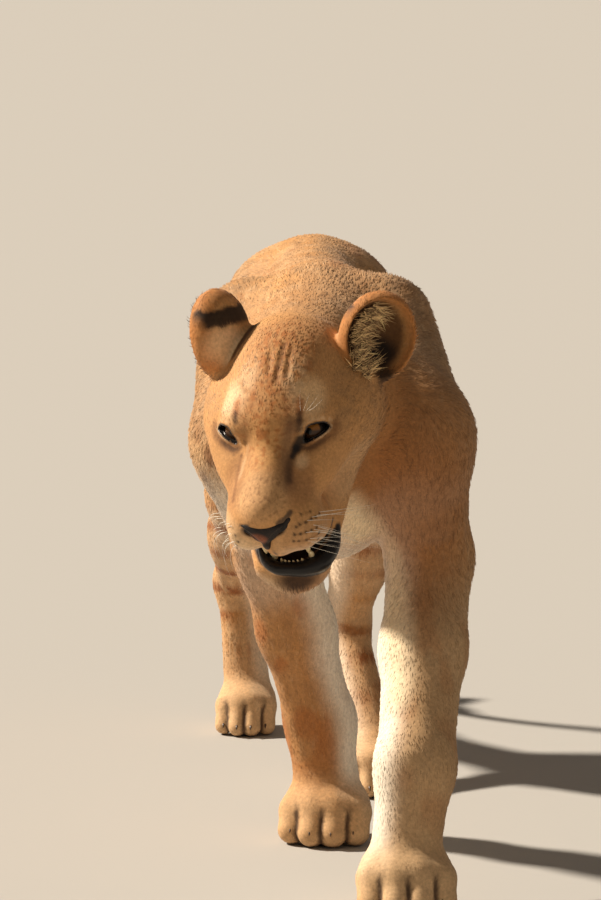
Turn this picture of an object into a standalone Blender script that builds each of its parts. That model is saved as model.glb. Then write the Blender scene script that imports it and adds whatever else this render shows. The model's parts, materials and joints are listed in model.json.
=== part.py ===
"""A young lioness walking with her head low, life size, as a still museum model.

Metres, +Z up. She faces -Y, her left side is +X, and she stands on the floor
at z = 0. The origin is on the floor, under the middle of her bounding box.

A body has no flat, turned or extruded surface, so it is made as one field of
distances: rounded rods and blobs along a named skeleton, each melted into the
last with a fillet. The field is meshed once, thinned out, parted with thin
plates where a person would name its parts, and each piece is then one node.
"""

import math

import bmesh
import bpy
import numpy as np
import openvdb
from mathutils import Matrix, Vector

# ---------------------------------------------------------------- dimensions
CELL = 0.0065            # grid spacing of the field that is meshed
GAP = 0.0004             # thickness of each parting cut
SNAP = 0.003             # a corner nearer than this to a cut is moved onto it
HEAD_REACH = 0.215       # from between the eyes; nearer than this is thinned less
BODY_TRIANGLES = 3300    # after thinning, before the cuts
HEAD_TRIANGLES = 1740
BOX_CENTRE = (0.0443, 0.8250)   # middle of the model, in the walking frame below

# The walking frame: x to her left, y backwards from the tips of her left fore
# toes, z up from the floor. Joint centres of the skeleton are given in it.
WITHERS = (0.036, 0.50, 0.806)
RUMP = (0.022, 1.20, 0.738)
HEAD = (-0.036, 0.040, 0.673)     # half way between the eyes
HEAD_YAW = math.radians(13.0)     # turned to her right
HEAD_PITCH = math.radians(35.5)   # muzzle lowered
HEAD_ROLL = math.radians(3.5)     # left side raised

FORE_LEGS = {
    "left": {
        "scapula": (0.134, 0.44, 0.786),
        "shoulder": (0.166, 0.248, 0.640),
        "elbow": (0.186, 0.300, 0.460),
        "wrist": (0.160, 0.105, 0.195),
        "ball": (0.146, 0.075, 0.050),
        "heading": math.radians(2.0),
    },
    "right": {
        "scapula": (-0.084, 0.52, 0.776),
        "shoulder": (-0.080, 0.350, 0.625),
        "elbow": (-0.036, 0.450, 0.445),
        "wrist": (0.030, 0.520, 0.178),
        "ball": (0.041, 0.505, 0.050),
        "heading": math.radians(-9.0),
    },
}
HIND_LEGS = {
    "left": {
        "hip": (0.085, 1.170, 0.712),
        "knee": (0.122, 0.915, 0.494),
        "hock": (0.074, 1.020, 0.236),
        "ball": (0.116, 0.855, 0.045),
        "heading": math.radians(4.0),
    },
    "right": {
        "hip": (-0.054, 1.170, 0.712),
        "knee": (-0.100, 1.085, 0.452),
        "hock": (-0.110, 1.395, 0.250),
        "ball": (-0.092, 1.350, 0.045),
        "heading": math.radians(-4.0),
    },
}
TAIL = [                          # the last value is the radius
    (0.018, 1.300, 0.790, 0.044),
    (0.014, 1.385, 0.728, 0.031),
    (0.008, 1.445, 0.615, 0.026),
    (-0.002, 1.485, 0.480, 0.022),
    (-0.010, 1.520, 0.360, 0.019),
    (-0.016, 1.570, 0.275, 0.018),
    (-0.018, 1.630, 0.240, 0.024),
    (-0.016, 1.690, 0.252, 0.018),
]
EYE_RADIUS = 0.0182
EYE_PLACE = (0.0535, -0.0065, -0.003)   # in the head's own frame, left side
MOUTH = (0.012, 0.094, -0.128)           # middle of the gap between the lips
MOUTH_TILT = math.radians(-10.0)
NOSE = (0, 0.135, -0.047)
NOSE_RADII = (0.031, 0.017, 0.021)
CLEARANCE = 0.0006       # round each eyeball and the nose pad
LID_GAP = (0.0205, 0.0150, 0.0085)       # the almond between the lids
LID_GAP_OUT = 0.0165                     # how far its middle is out of the eyeball's


# --------------------------------------------------------------- head's frame
def head_axes():
    """Her left, forward and crown directions, as the columns of a matrix."""
    yaw = Matrix.Rotation(-HEAD_YAW, 3, "Z")
    pitch = Matrix.Rotation(HEAD_PITCH, 3, "X")
    roll = Matrix.Rotation(-HEAD_ROLL, 3, "Y")
    turn = yaw @ pitch @ roll
    columns = (turn @ Vector((1, 0, 0)), turn @ Vector((0, -1, 0)), turn @ Vector((0, 0, 1)))
    return np.array(columns).T


HEAD_AXES = head_axes()


def on_head(x, y, z):
    """A point x to her left, y forward and z crownward of the eyes' middle."""
    return np.array(HEAD) + HEAD_AXES @ np.array((x, y, z))


# ---------------------------------------------------------- field of distances
class Field:
    """Distances on a grid, negative inside; a form touches only its own window."""

    FAR = 0.1

    def __init__(self, low, high, cell):
        self.axes = [np.arange(lo, hi + cell, cell) for lo, hi in zip(low, high)]
        self.cell = cell
        self.values = np.full([len(axis) for axis in self.axes], self.FAR, np.float32)

    def window(self, form, blend):
        """The part of the grid near a form, and the open coordinates there."""
        low, high, _ = form
        reach = blend + 4 * self.cell
        ranges = [
            slice(*np.searchsorted(axis, (lo - reach, hi + reach)))
            for axis, lo, hi in zip(self.axes, low, high)
        ]
        spots = np.ix_(*(axis[r] for axis, r in zip(self.axes, ranges)))
        return tuple(ranges), spots

    def melt(self, form, blend):
        """Joins a form on, with a fillet about as wide as blend."""
        ranges, spots = self.window(form, blend)
        old, new = self.values[ranges], form[2](*spots)
        near = np.maximum(blend - np.abs(old - new), 0) / blend
        self.values[ranges] = np.minimum(old, new) - near**2 * blend / 4

    def carve(self, form, blend):
        """Takes a form away, with an edge rounded about as wide as blend."""
        ranges, spots = self.window(form, blend)
        old, new = self.values[ranges], -form[2](*spots)
        near = np.maximum(blend - np.abs(old - new), 0) / blend
        self.values[ranges] = np.maximum(old, new) + near**2 * blend / 4

    def surface(self):
        """Points and quads of the zero level."""
        grid = openvdb.FloatGrid(self.FAR)
        grid.copyFromArray(self.values)
        points, quads = grid.convertToQuads(0.0)
        origin = np.array([axis[0] for axis in self.axes])
        return points * self.cell + origin, quads


def rod(a, b, ra, rb, flat=None):
    """A tapered rod with round ends. flat is (direction, ratio): thinner that way."""
    a, b = np.array(a, float), np.array(b, float)
    along = b - a
    thick = max(ra, rb) * max(1.0, flat[1] if flat else 1.0)

    def distance(x, y, z):
        px, py, pz = x - a[0], y - a[1], z - a[2]
        t = np.clip((px * along[0] + py * along[1] + pz * along[2]) / (along @ along), 0, 1)
        px, py, pz = px - t * along[0], py - t * along[1], pz - t * along[2]
        square = px**2 + py**2 + pz**2
        if flat:
            side, ratio = np.array(flat[0], float), flat[1]
            square = square + (px * side[0] + py * side[1] + pz * side[2]) ** 2 * (ratio**-2 - 1)
        return np.sqrt(square) - (ra + t * (rb - ra))

    return np.minimum(a, b) - thick, np.maximum(a, b) + thick, distance


def blob(centre, radii, axes=np.eye(3)):
    """An ellipsoid whose own axes are the columns of axes."""
    centre, radii = np.array(centre, float), np.array(radii, float)

    def distance(x, y, z):
        px, py, pz = x - centre[0], y - centre[1], z - centre[2]
        own = [px * side[0] + py * side[1] + pz * side[2] for side in axes.T]
        once = np.sqrt(sum((p / r) ** 2 for p, r in zip(own, radii)))
        twice = np.sqrt(sum((p / r**2) ** 2 for p, r in zip(own, radii)))
        return once * (once - 1) / np.maximum(twice, 1e-9)

    reach = np.sqrt(((axes * radii) ** 2).sum(1))
    return centre - reach, centre + reach, distance


def hollowed(outer, inner):
    """The outer form without the inner one, as one form."""
    return outer[0], outer[1], lambda x, y, z: np.maximum(outer[2](x, y, z), -inner[2](x, y, z))


def between(a, b, share):
    """The point that share of the way from a to b."""
    return np.array(a) * (1 - share) + np.array(b) * share


def smooth_path(stations, steps):
    """Stations on a Catmull-Rom curve through the given ones, steps to each stretch."""
    knots = np.array([stations[0], *stations, stations[-1]], float)
    t = np.arange(steps)[:, None] / steps
    runs = [
        0.5 * (2 * b + (c - a) * t + (2 * a - 5 * b + 4 * c - d) * t**2 + (3 * b - a - 3 * c + d) * t**3)
        for a, b, c, d in zip(knots, knots[1:], knots[2:], knots[3:])
    ]
    return np.concatenate([*runs, knots[-1:]])


def frame_from(facing, upward):
    """Side, facing and upright directions of a cup such as an ear, as columns."""
    facing = np.array(facing, float) / np.linalg.norm(facing)
    upright = np.array(upward, float) - facing * np.dot(upward, facing)
    upright /= np.linalg.norm(upright)
    return np.array((np.cross(upright, facing), facing, upright)).T


# ------------------------------------------------------------------ the body
def trunk_and_neck(body):
    """Deep chest, slack belly, broad croup, and the neck reaching down."""
    body.melt(blob((0.022, 0.600, 0.662), (0.176, 0.370, 0.196)), 0.03)
    body.melt(blob((0.034, 0.350, 0.614), (0.134, 0.180, 0.168)), 0.05)
    body.melt(blob((0.018, 0.930, 0.722), (0.130, 0.290, 0.130)), 0.05)
    body.melt(blob((0.018, 0.840, 0.612), (0.126, 0.300, 0.118)), 0.05)
    body.melt(blob(RUMP, (0.138, 0.190, 0.128)), 0.05)
    dip, loin = (0.026, 0.760, 0.796), (0.022, 1.000, 0.800)
    body.melt(rod(WITHERS, dip, 0.064, 0.050), 0.05)
    body.melt(rod(dip, loin, 0.050, 0.050), 0.05)
    body.melt(rod(loin, RUMP + np.array((0, 0, 0.050)), 0.050, 0.066), 0.05)
    body.melt(rod((0.034, 0.420, 0.722), (-0.008, 0.180, 0.712), 0.142, 0.112, ((1, 0, 0), 0.92)), 0.06)
    body.melt(rod((0.030, 0.300, 0.606), (-0.014, 0.150, 0.622), 0.100, 0.082), 0.05)


def fore_leg(body, leg):
    """Shoulder blade, upper arm, forearm and paw."""
    scapula, shoulder, elbow, wrist, ball = (
        np.array(leg[joint]) for joint in ("scapula", "shoulder", "elbow", "wrist", "ball")
    )
    body.melt(rod(scapula, shoulder, 0.072, 0.086, ((1, 0, 0), 0.9)), 0.05)
    body.melt(rod(shoulder, elbow, 0.082, 0.064, ((1, 0, 0), 0.92)), 0.04)
    back_of_arm = between(scapula, shoulder, 0.55) + (0, 0.110, -0.060)
    body.melt(rod(back_of_arm, elbow + (0, 0.040, 0.015), 0.062, 0.040, ((1, 0, 0), 0.8)), 0.05)
    middle = between(elbow, wrist, 0.45)
    body.melt(rod(elbow, middle, 0.065, 0.059, ((0, 1, 0), 0.92)), 0.03)
    body.melt(rod(middle, wrist, 0.059, 0.054, ((0, 1, 0), 0.84)), 0.03)
    body.melt(rod(wrist, ball + (0, 0.012, 0.020), 0.053, 0.050, ((0, 1, 0), 0.84)), 0.03)
    body.melt(blob(wrist + (0, 0.040, -0.020), (0.020, 0.016, 0.020)), 0.02)
    paw(body, ball, leg["heading"], 0.140, 0.080)


def hind_leg(body, leg, side):
    """Thigh, shank, hock and foot; side is 1 for her left."""
    hip, knee, hock, ball = (np.array(leg[joint]) for joint in ("hip", "knee", "hock", "ball"))
    body.melt(rod(hip, knee, 0.118, 0.070, ((1, 0, 0), 0.66)), 0.05)
    seat = hip + (side * -0.005, 0.120, -0.010)
    calf = between(knee, hock, 0.35) + (0, 0.030, 0.0)
    body.melt(rod(seat, calf, 0.074, 0.052, ((1, 0, 0), 0.72)), 0.05)
    body.melt(rod(hip + (0, -0.130, 0.0), knee, 0.062, 0.062, ((1, 0, 0), 0.66)), 0.05)
    body.melt(rod(knee, between(knee, hock, 0.55), 0.064, 0.048, ((1, 0, 0), 0.88)), 0.04)
    body.melt(rod(between(knee, hock, 0.5), hock, 0.048, 0.038), 0.04)
    body.melt(rod(calf, hock + (0, 0.022, 0.030), 0.036, 0.020), 0.04)
    body.melt(blob(hock + (0, 0.020, 0.022), (0.026, 0.022, 0.040)), 0.04)
    body.melt(rod(hock, ball + (0, 0.022, 0.024), 0.039, 0.041, ((0, 1, 0), 0.86)), 0.03)
    paw(body, ball, leg["heading"], 0.106, 0.080)


def paw(body, ball, heading, width, length):
    """A pad and four arched toes, fanned out, the middle two reaching furthest."""
    forward = np.array((math.sin(heading), -math.cos(heading), 0))
    across = np.array((math.cos(heading), math.sin(heading), 0))
    axes = np.array((across, forward, (0, 0, 1))).T
    body.melt(blob(ball + (0, 0, -0.010), (width * 0.46, length * 0.62, 0.044), axes), 0.03)
    thick = width * 0.172
    for place in (-1.5, -0.5, 0.5, 1.5):
        outer = abs(place) > 1
        spread = across * place * (width - 2 * thick) / 3
        reach = length * (0.80 if outer else 1.0) - thick
        floor = np.array((ball[0], ball[1], 0))
        root = floor + spread * 0.75 + (0, 0, 0.055)
        arch = floor + spread + forward * reach * 0.62 + (0, 0, 0.048 if outer else 0.053)
        tip = floor + spread * 1.04 + forward * reach + (0, 0, thick * 0.9)
        body.melt(rod(root, arch, thick * 1.05, thick), 0.012)
        body.melt(rod(arch, tip, thick, thick * 0.98), 0.006)


def head_forms(body):
    """Skull, cheeks, muzzle, lower jaw and lids, all in the head's own frame."""

    def lump(x, y, z, radii, blend):
        for side in (1, -1) if x else (1,):
            body.melt(blob(on_head(x * side, y, z), radii, HEAD_AXES), blend)

    lump(0, -0.095, 0.006, (0.080, 0.105, 0.070), 0.03)
    lump(0, -0.035, 0.018, (0.062, 0.066, 0.040), 0.03)
    lump(0.068, -0.055, -0.028, (0.044, 0.072, 0.048), 0.03)
    lump(0.076, -0.105, -0.050, (0.050, 0.076, 0.062), 0.03)
    bridge = on_head(0, 0.005, -0.010), on_head(0, 0.112, -0.042)
    body.melt(rod(*bridge, 0.037, 0.031), 0.03)
    lump(0, 0.066, -0.054, (0.062, 0.072, 0.042), 0.02)
    body.melt(blob(on_head(0.038, 0.096, -0.078), (0.037, 0.044, 0.039), HEAD_AXES), 0.014)
    body.melt(blob(on_head(-0.029, 0.099, -0.075), (0.034, 0.043, 0.038), HEAD_AXES), 0.014)
    body.melt(blob(on_head(0.012, 0.112, -0.088), (0.026, 0.032, 0.030), HEAD_AXES), 0.012)
    lump(0.052, 0.010, -0.044, (0.036, 0.046, 0.036), 0.03)
    lump(0.042, -0.006, 0.020, (0.030, 0.030, 0.018), 0.02)
    lump(0, -0.030, -0.108, (0.060, 0.090, 0.042), 0.03)
    for side in (1, -1):
        corner = on_head(side * 0.056, -0.060, -0.100)
        front = on_head(side * 0.027 + 0.012, 0.092, -0.160)
        body.melt(rod(corner, front, 0.036, 0.029), 0.02)
        body.melt(blob(eye_place(side), (0.0215,) * 3), 0.012)
    body.melt(blob(on_head(0.014, 0.100, -0.172), (0.037, 0.032, 0.027), HEAD_AXES), 0.015)


def eye_place(side):
    """Where the middle of an eyeball sits."""
    x, y, z = EYE_PLACE
    return on_head(side * x, y, z)


def eye_axes(side):
    """Along the lids from the inner corner, out of the eye, and up, as columns."""
    outward = np.array((side * 0.45, 0.80, 0.42))
    along = np.array((side * 0.64, -0.68, 0.28))
    outward /= np.linalg.norm(outward)
    along -= outward * (along @ outward)
    along /= np.linalg.norm(along)
    upward = np.cross(along, outward) * side
    return HEAD_AXES @ np.array((along, outward, upward)).T


def mouth_opening():
    """The gap between the lips, a flat lens that ends at the mouth's corners."""
    tilt = Matrix.Rotation(MOUTH_TILT, 3, "X")
    return blob(on_head(*MOUTH), (0.062, 0.062, 0.011), HEAD_AXES @ np.array(tilt))


def ear(body, base, facing, upward):
    """A round cup on a short stalk, open the way it faces."""
    axes = frame_from(facing, upward)
    centre = np.array(base)
    outer = blob(centre, (0.058, 0.036, 0.066), axes)
    inner = blob(centre + axes[:, 1] * 0.026, (0.049, 0.047, 0.055), axes)
    body.melt(hollowed(outer, inner), 0.012)


EARS = {
    "left": ((0.106, 0.130, 0.794), (0.34, -0.92, -0.05), (0.22, 0.0, 0.97)),
    "right": ((-0.112, 0.165, 0.794), (-0.78, 0.55, -0.15), (-0.25, 0.10, 0.96)),
}


def whole_body(cell):
    """The field of the complete animal."""
    body = Field((-0.32, -0.20, -0.06), (0.40, 1.90, 0.95), cell)
    trunk_and_neck(body)
    for side, sign in (("left", 1), ("right", -1)):
        fore_leg(body, FORE_LEGS[side])
        hind_leg(body, HIND_LEGS[side], sign)
    stations = smooth_path(TAIL, 4)
    for start, end in zip(stations, stations[1:]):
        body.melt(rod(start[:3], end[:3], start[3], end[3]), 0.01)
    head_forms(body)
    for side in ("left", "right"):
        ear(body, *EARS[side])
    body.carve(mouth_opening(), 0.006)
    return body


# ------------------------------------------------------------ meshes and cuts
def skin_mesh():
    """The meshed field as a bmesh: thinned most on the trunk, with level soles."""
    points, quads = whole_body(CELL).surface()
    mesh = bpy.data.meshes.new("skin")
    mesh.from_pydata((points - (*BOX_CENTRE, 0)).tolist(), [], quads[:, ::-1].tolist())
    skin = bpy.data.objects.new("skin", mesh)
    bpy.context.scene.collection.objects.link(skin)
    on_head_side = np.linalg.norm(points - HEAD, axis=1) < HEAD_REACH
    before = 2 * len(quads)
    head_before = before * on_head_side.mean()
    for name, chosen, after in (
        ("body", ~on_head_side, BODY_TRIANGLES + head_before),
        ("head", on_head_side, BODY_TRIANGLES + HEAD_TRIANGLES),
    ):
        skin.vertex_groups.new(name=name).add(np.flatnonzero(chosen).tolist(), 1.0, "REPLACE")
        thin = skin.modifiers.new(name, "DECIMATE")
        thin.vertex_group, thin.vertex_group_factor = name, 1.0
        thin.ratio, before = after / before, after
    depsgraph = bpy.context.evaluated_depsgraph_get()
    body = bmesh.new()
    body.from_mesh(skin.evaluated_get(depsgraph).to_mesh())
    bpy.data.objects.remove(skin)
    return half(body, (0, 0, 0), (0, 0, 1))


def half(body, point, normal, snap=SNAP):
    """The part of a closed bmesh on the side that normal points to, closed again.

    Corners close to the plane are moved onto it first, so that the cut leaves
    no slivers; the corners of earlier cuts stay where they are.
    """
    kept = body.copy()
    point, normal = Vector(point), Vector(normal)
    rim_mark = kept.verts.layers.int.get("rim") or kept.verts.layers.int.new("rim")
    for vert in kept.verts:
        away = (vert.co - point).dot(normal)
        if abs(away) < snap and not vert[rim_mark]:
            vert.co -= normal * away
    everything = kept.verts[:] + kept.edges[:] + kept.faces[:]
    bmesh.ops.bisect_plane(
        kept, geom=everything, plane_co=point, plane_no=normal, clear_inner=True, dist=1e-6
    )
    rim = [edge for edge in kept.edges if edge.is_boundary]
    for vert in {vert for edge in rim for vert in edge.verts}:
        vert[rim_mark] = 1
    caps = bmesh.ops.contextual_create(kept, geom=rim)["faces"]
    bmesh.ops.triangulate(kept, faces=caps)
    bmesh.ops.recalc_face_normals(kept, faces=kept.faces[:])
    return kept


def split(body, point, normal, snap=SNAP):
    """Both parts of a body cut by a plane, behind and ahead of it, a gap apart."""
    normal = np.array(normal, float) / np.linalg.norm(normal)
    point = np.array(point, float) - (*BOX_CENTRE, 0)
    shift = normal * GAP / 2
    return half(body, point - shift, -normal, snap), half(body, point + shift, normal, snap)


def loose_parts(body, count):
    """The largest separate bodies in a bmesh, the largest first."""
    left, parts = set(body.verts), []
    while left:
        found, edge = set(), [left.pop()]
        while edge:
            vert = edge.pop()
            found.add(vert)
            fresh = {link.other_vert(vert) for link in vert.link_edges} & left
            left -= fresh
            edge.extend(fresh)
        parts.append(found)
    parts.sort(key=len, reverse=True)
    pieces = []
    for chosen in parts[:count]:
        keys = {vert.index for vert in chosen}
        piece = body.copy()
        piece.verts.ensure_lookup_table()
        others = [vert for vert in piece.verts if vert.index not in keys]
        bmesh.ops.delete(piece, geom=others, context="VERTS")
        pieces.append(piece)
    return pieces


def leftmost(bodies):
    """The same bodies in order from her left side to her right."""
    return sorted(bodies, key=lambda body: -np.mean([vert.co.x for vert in body.verts]))


# --------------------------------------------------------------- named pieces
def fore_half(front):
    """Everything ahead of the ribs' middle, parted down to named pieces."""
    legs, block = split(front, (0, 0, 0.440), (0, 0, 1))
    pieces = {}
    for side, leg in zip(("left", "right"), leftmost(loose_parts(legs, 2))):
        wrist = between(FORE_LEGS[side]["wrist"], FORE_LEGS[side]["ball"], 0.30)
        pieces[f"forepaw_{side}"], pieces[f"forearm_{side}"] = split(leg, wrist, (0, 0, 1))
    chest, ahead = split(block, (0.020, 0.240, 0.675), (-0.35, -0.85, 0.40))
    chest, pieces["upper_arm_left"] = split(chest, (0.118, 0.3, 0.450), (0.85, 0, -0.53))
    pieces["chest"], pieces["upper_arm_right"] = split(chest, (0.022, 0.4, 0.440), (-0.65, 0, -0.76))
    pieces["neck"], head = split(ahead, (-0.010, 0.185, 0.675), (-0.15, -0.93, 0.36), snap=0)
    head, pieces["ear_left"] = split(head, *ear_base("left"))
    head, pieces["ear_right"] = split(head, *ear_base("right"))
    tilt = Matrix.Rotation(MOUTH_TILT, 3, "X")
    biting = HEAD_AXES @ np.array(tilt)[:, 2]
    pieces["jaw"], pieces["head"] = split(head, on_head(*MOUTH), biting, snap=0)
    return pieces


def ear_base(side):
    """A point and an outward direction of the plane where an ear meets the skull."""
    skull, ear_middle = on_head(0, -0.095, 0.006), np.array(EARS[side][0])
    outward = ear_middle - skull
    outward /= np.linalg.norm(outward)
    return between(skull, ear_middle, 0.70), between((0, 0, 1), outward, 0.45)


def hind_half(back):
    """Everything behind the ribs' middle, parted down to named pieces."""
    below, block = split(back, (0, 0, 0.460), (0, 0, 1))
    tail_end, *legs = sorted(loose_parts(below, 3), key=lambda body: -max(v.co.y for v in body.verts))
    pieces = {}
    pieces["tail_middle"], pieces["tail_tuft"] = split(tail_end, (0, 1.555, 0.300), (0, 0.80, -0.60))
    for side, leg in zip(("left", "right"), leftmost(legs)):
        joints = HIND_LEGS[side]
        point = between(joints["hock"], joints["ball"], 0.40)
        along = np.array(joints["hock"]) - joints["ball"]
        pieces[f"hindpaw_{side}"], pieces[f"shank_{side}"] = split(leg, point, along)
    pieces["belly"], rear = split(block, (0, 0.835, 0), (0, 1, 0))
    rear, pieces["tail_base"] = split(rear, (0.016, 1.372, 0.740), (0, 1, 0))
    rear, pieces["thigh_left"] = split(rear, (0.018, 1.1, 0.530), (0.80, 0, -0.60))
    pieces["rump"], pieces["thigh_right"] = split(rear, (0.018, 1.1, 0.530), (-0.80, 0, -0.60))
    return pieces


COLOURS = {"eye": (0.20, 0.09, 0.03), "nose": (0.24, 0.10, 0.07), "fur": (0.52, 0.32, 0.14)}


def finish(name, colour, roughness):
    """A plain Principled material."""
    material = bpy.data.materials.new(name)
    material.use_nodes = True
    shader = material.node_tree.nodes["Principled BSDF"]
    shader.inputs["Base Color"].default_value = (*colour, 1)
    shader.inputs["Roughness"].default_value = roughness
    shader.inputs["Metallic"].default_value = 0
    return material


def add_object(name, mesh, kind, collection):
    """One named node with its own material."""
    thing = bpy.data.objects.new(name, mesh)
    collection.objects.link(thing)
    mesh.materials.append(finish(name, COLOURS[kind], 0.15 if kind == "eye" else 0.8))
    return thing


def ball(radii, place, axes, segments, rings):
    """A sphere stretched along axes, as a bmesh."""
    made = bmesh.new()
    bmesh.ops.create_uvsphere(made, u_segments=segments, v_segments=rings, radius=1.0)
    turn = Matrix((axes * radii).tolist()).to_4x4()
    turn.translation = np.array(place) - (*BOX_CENTRE, 0)
    bmesh.ops.transform(made, matrix=turn, verts=made.verts[:])
    bmesh.ops.recalc_face_normals(made, faces=made.faces[:])
    return made


def as_mesh(name, body):
    mesh = bpy.data.meshes.new(name)
    body.to_mesh(mesh)
    body.free()
    return mesh


def cut_out(thing, name, shape, cutters):
    """Takes a closed shape out of an object with a Boolean."""
    cutter = bpy.data.objects.new(name, as_mesh(name, shape))
    cutters.objects.link(cutter)
    cutter.hide_render = True
    cutter.display_type = "WIRE"
    cut = thing.modifiers.new(name, "BOOLEAN")
    cut.operation, cut.solver, cut.object = "DIFFERENCE", "EXACT", cutter


def main():
    for old in list(bpy.data.objects):
        bpy.data.objects.remove(old, do_unlink=True)
    lioness = bpy.data.collections.new("lioness")
    cutters = bpy.data.collections.new("cutters")
    bpy.context.scene.collection.children.link(lioness)
    bpy.context.scene.collection.children.link(cutters)

    front, back = split(skin_mesh(), (0, 0.610, 0), (0, 1, 0))
    for name, body in {**fore_half(front), **hind_half(back)}.items():
        add_object(name, as_mesh(name, body), "fur", lioness)

    spheres = {
        "eye_left": (np.array((1, 1, 1)) * EYE_RADIUS, eye_place(1), 14, 8, "eye"),
        "eye_right": (np.array((1, 1, 1)) * EYE_RADIUS, eye_place(-1), 14, 8, "eye"),
        "nose": (np.array(NOSE_RADII), on_head(*NOSE), 14, 8, "nose"),
    }
    head = lioness.objects["head"]
    for name, (radii, place, segments, rings, kind) in spheres.items():
        add_object(name, as_mesh(name, ball(radii, place, HEAD_AXES, segments, rings)), kind, lioness)
        cut_out(head, f"{name}_socket", ball(radii + CLEARANCE, place, HEAD_AXES, segments, rings), cutters)
    for side, sign in (("left", 1), ("right", -1)):
        axes = eye_axes(sign)
        place = eye_place(sign) + axes[:, 1] * LID_GAP_OUT
        cut_out(head, f"lid_gap_{side}", ball(np.array(LID_GAP), place, axes, 12, 6), cutters)


main()
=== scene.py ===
# %% [markdown]
# # A young lioness, walking with her head low
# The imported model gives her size, stance and named parts. Her skin, her coat
# and her eyes are added here, in metres, in the same place as those parts. The
# default objects go first, because they would count in the model's bounds.

import json
import math

import bpy
import numpy as np
import openvdb
from mathutils import Matrix, Vector

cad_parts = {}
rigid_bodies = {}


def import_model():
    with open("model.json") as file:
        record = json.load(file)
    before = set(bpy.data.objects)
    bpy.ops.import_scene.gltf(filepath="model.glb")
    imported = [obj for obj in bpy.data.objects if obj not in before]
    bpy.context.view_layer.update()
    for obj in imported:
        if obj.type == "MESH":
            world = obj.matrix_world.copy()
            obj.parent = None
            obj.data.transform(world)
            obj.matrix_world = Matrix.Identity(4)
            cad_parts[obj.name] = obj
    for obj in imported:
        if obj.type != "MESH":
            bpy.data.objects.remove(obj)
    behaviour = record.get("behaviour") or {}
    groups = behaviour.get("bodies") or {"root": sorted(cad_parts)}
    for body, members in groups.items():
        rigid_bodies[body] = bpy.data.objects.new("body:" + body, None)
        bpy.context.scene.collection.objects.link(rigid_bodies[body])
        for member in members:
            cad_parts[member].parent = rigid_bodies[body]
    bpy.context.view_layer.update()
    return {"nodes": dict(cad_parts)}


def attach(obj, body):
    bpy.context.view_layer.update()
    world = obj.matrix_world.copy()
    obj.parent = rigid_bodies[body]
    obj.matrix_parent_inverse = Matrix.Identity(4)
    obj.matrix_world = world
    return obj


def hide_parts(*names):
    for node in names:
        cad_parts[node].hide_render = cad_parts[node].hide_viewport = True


for old in list(bpy.data.objects):
    bpy.data.objects.remove(old, do_unlink=True)
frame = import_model()
RANDOM = np.random.default_rng(7)
COAT_SHARE = 1.0     # part of the tufts that is made

# %% [markdown]
# ## Her skeleton
# An animal's shape is easiest to control from its joints. The same joint
# centres as in the solids are repeated here, in a walking frame: x to her
# left, y backwards, z up. ORIGIN moves that frame to the model's own.

# %% Joints
ORIGIN = np.array((0.0443, 0.8250, 0.0))
WITHERS = (0.036, 0.50, 0.806)
RUMP = (0.022, 1.20, 0.738)
HEAD = np.array((-0.036, 0.040, 0.673))     # half way between the eyes
HEAD_YAW, HEAD_PITCH, HEAD_ROLL = (math.radians(v) for v in (13.0, 35.5, 3.5))
FORE_LEGS = {
    "left": {
        "scapula": (0.134, 0.44, 0.786), "shoulder": (0.166, 0.248, 0.640),
        "elbow": (0.186, 0.300, 0.460), "wrist": (0.160, 0.105, 0.195),
        "ball": (0.146, 0.075, 0.050), "heading": math.radians(2.0),
    },
    "right": {
        "scapula": (-0.084, 0.52, 0.776), "shoulder": (-0.080, 0.350, 0.625),
        "elbow": (-0.036, 0.450, 0.445), "wrist": (0.030, 0.520, 0.178),
        "ball": (0.041, 0.505, 0.050), "heading": math.radians(-9.0),
    },
}
HIND_LEGS = {
    "left": {
        "hip": (0.085, 1.170, 0.712), "knee": (0.122, 0.915, 0.494),
        "hock": (0.074, 1.020, 0.236), "ball": (0.116, 0.855, 0.045),
        "heading": math.radians(4.0),
    },
    "right": {
        "hip": (-0.054, 1.170, 0.712), "knee": (-0.100, 1.085, 0.452),
        "hock": (-0.110, 1.395, 0.250), "ball": (-0.092, 1.350, 0.045),
        "heading": math.radians(-4.0),
    },
}
TAIL = [                          # the last value is the radius
    (0.018, 1.300, 0.790, 0.044), (0.014, 1.385, 0.728, 0.031),
    (0.008, 1.445, 0.615, 0.026), (-0.002, 1.485, 0.480, 0.022),
    (-0.010, 1.520, 0.360, 0.019), (-0.016, 1.570, 0.275, 0.018),
    (-0.018, 1.630, 0.240, 0.024), (-0.016, 1.690, 0.252, 0.018),
]
FORE_PAW, HIND_PAW = (0.140, 0.080), (0.106, 0.080)     # width, length
EYE_RADIUS = 0.0182
EYE_PLACE = (0.0535, -0.0065, -0.003)   # in the head's own frame, left side
MOUTH = (0.012, 0.094, -0.128)
MOUTH_TILT = math.radians(-10.0)
NOSE = (0, 0.135, -0.047)
HEAD_MIDDLE = np.array((0, -0.03, -0.04))   # of the whole head, in its own frame
EAR_SIZE = np.array((0.058, 0.036, 0.066))  # half its width, depth and height
EARS = {
    "left": ((0.106, 0.130, 0.794), (0.34, -0.92, -0.05), (0.22, 0.0, 0.97)),
    "right": ((-0.112, 0.165, 0.794), (-0.78, 0.55, -0.15), (-0.25, 0.10, 0.96)),
}
print("joints of", len(FORE_LEGS) + len(HIND_LEGS), "legs, tail of", len(TAIL), "stations")

# %% [markdown]
# ## Directions of her head
# Her head is low, turned to her right and tipped a little. Its forms and marks
# are easiest to place in its own directions, measured from between the eyes,
# so two functions go from the head's frame to the walking frame and back.

# %% The head's own frame


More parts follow.
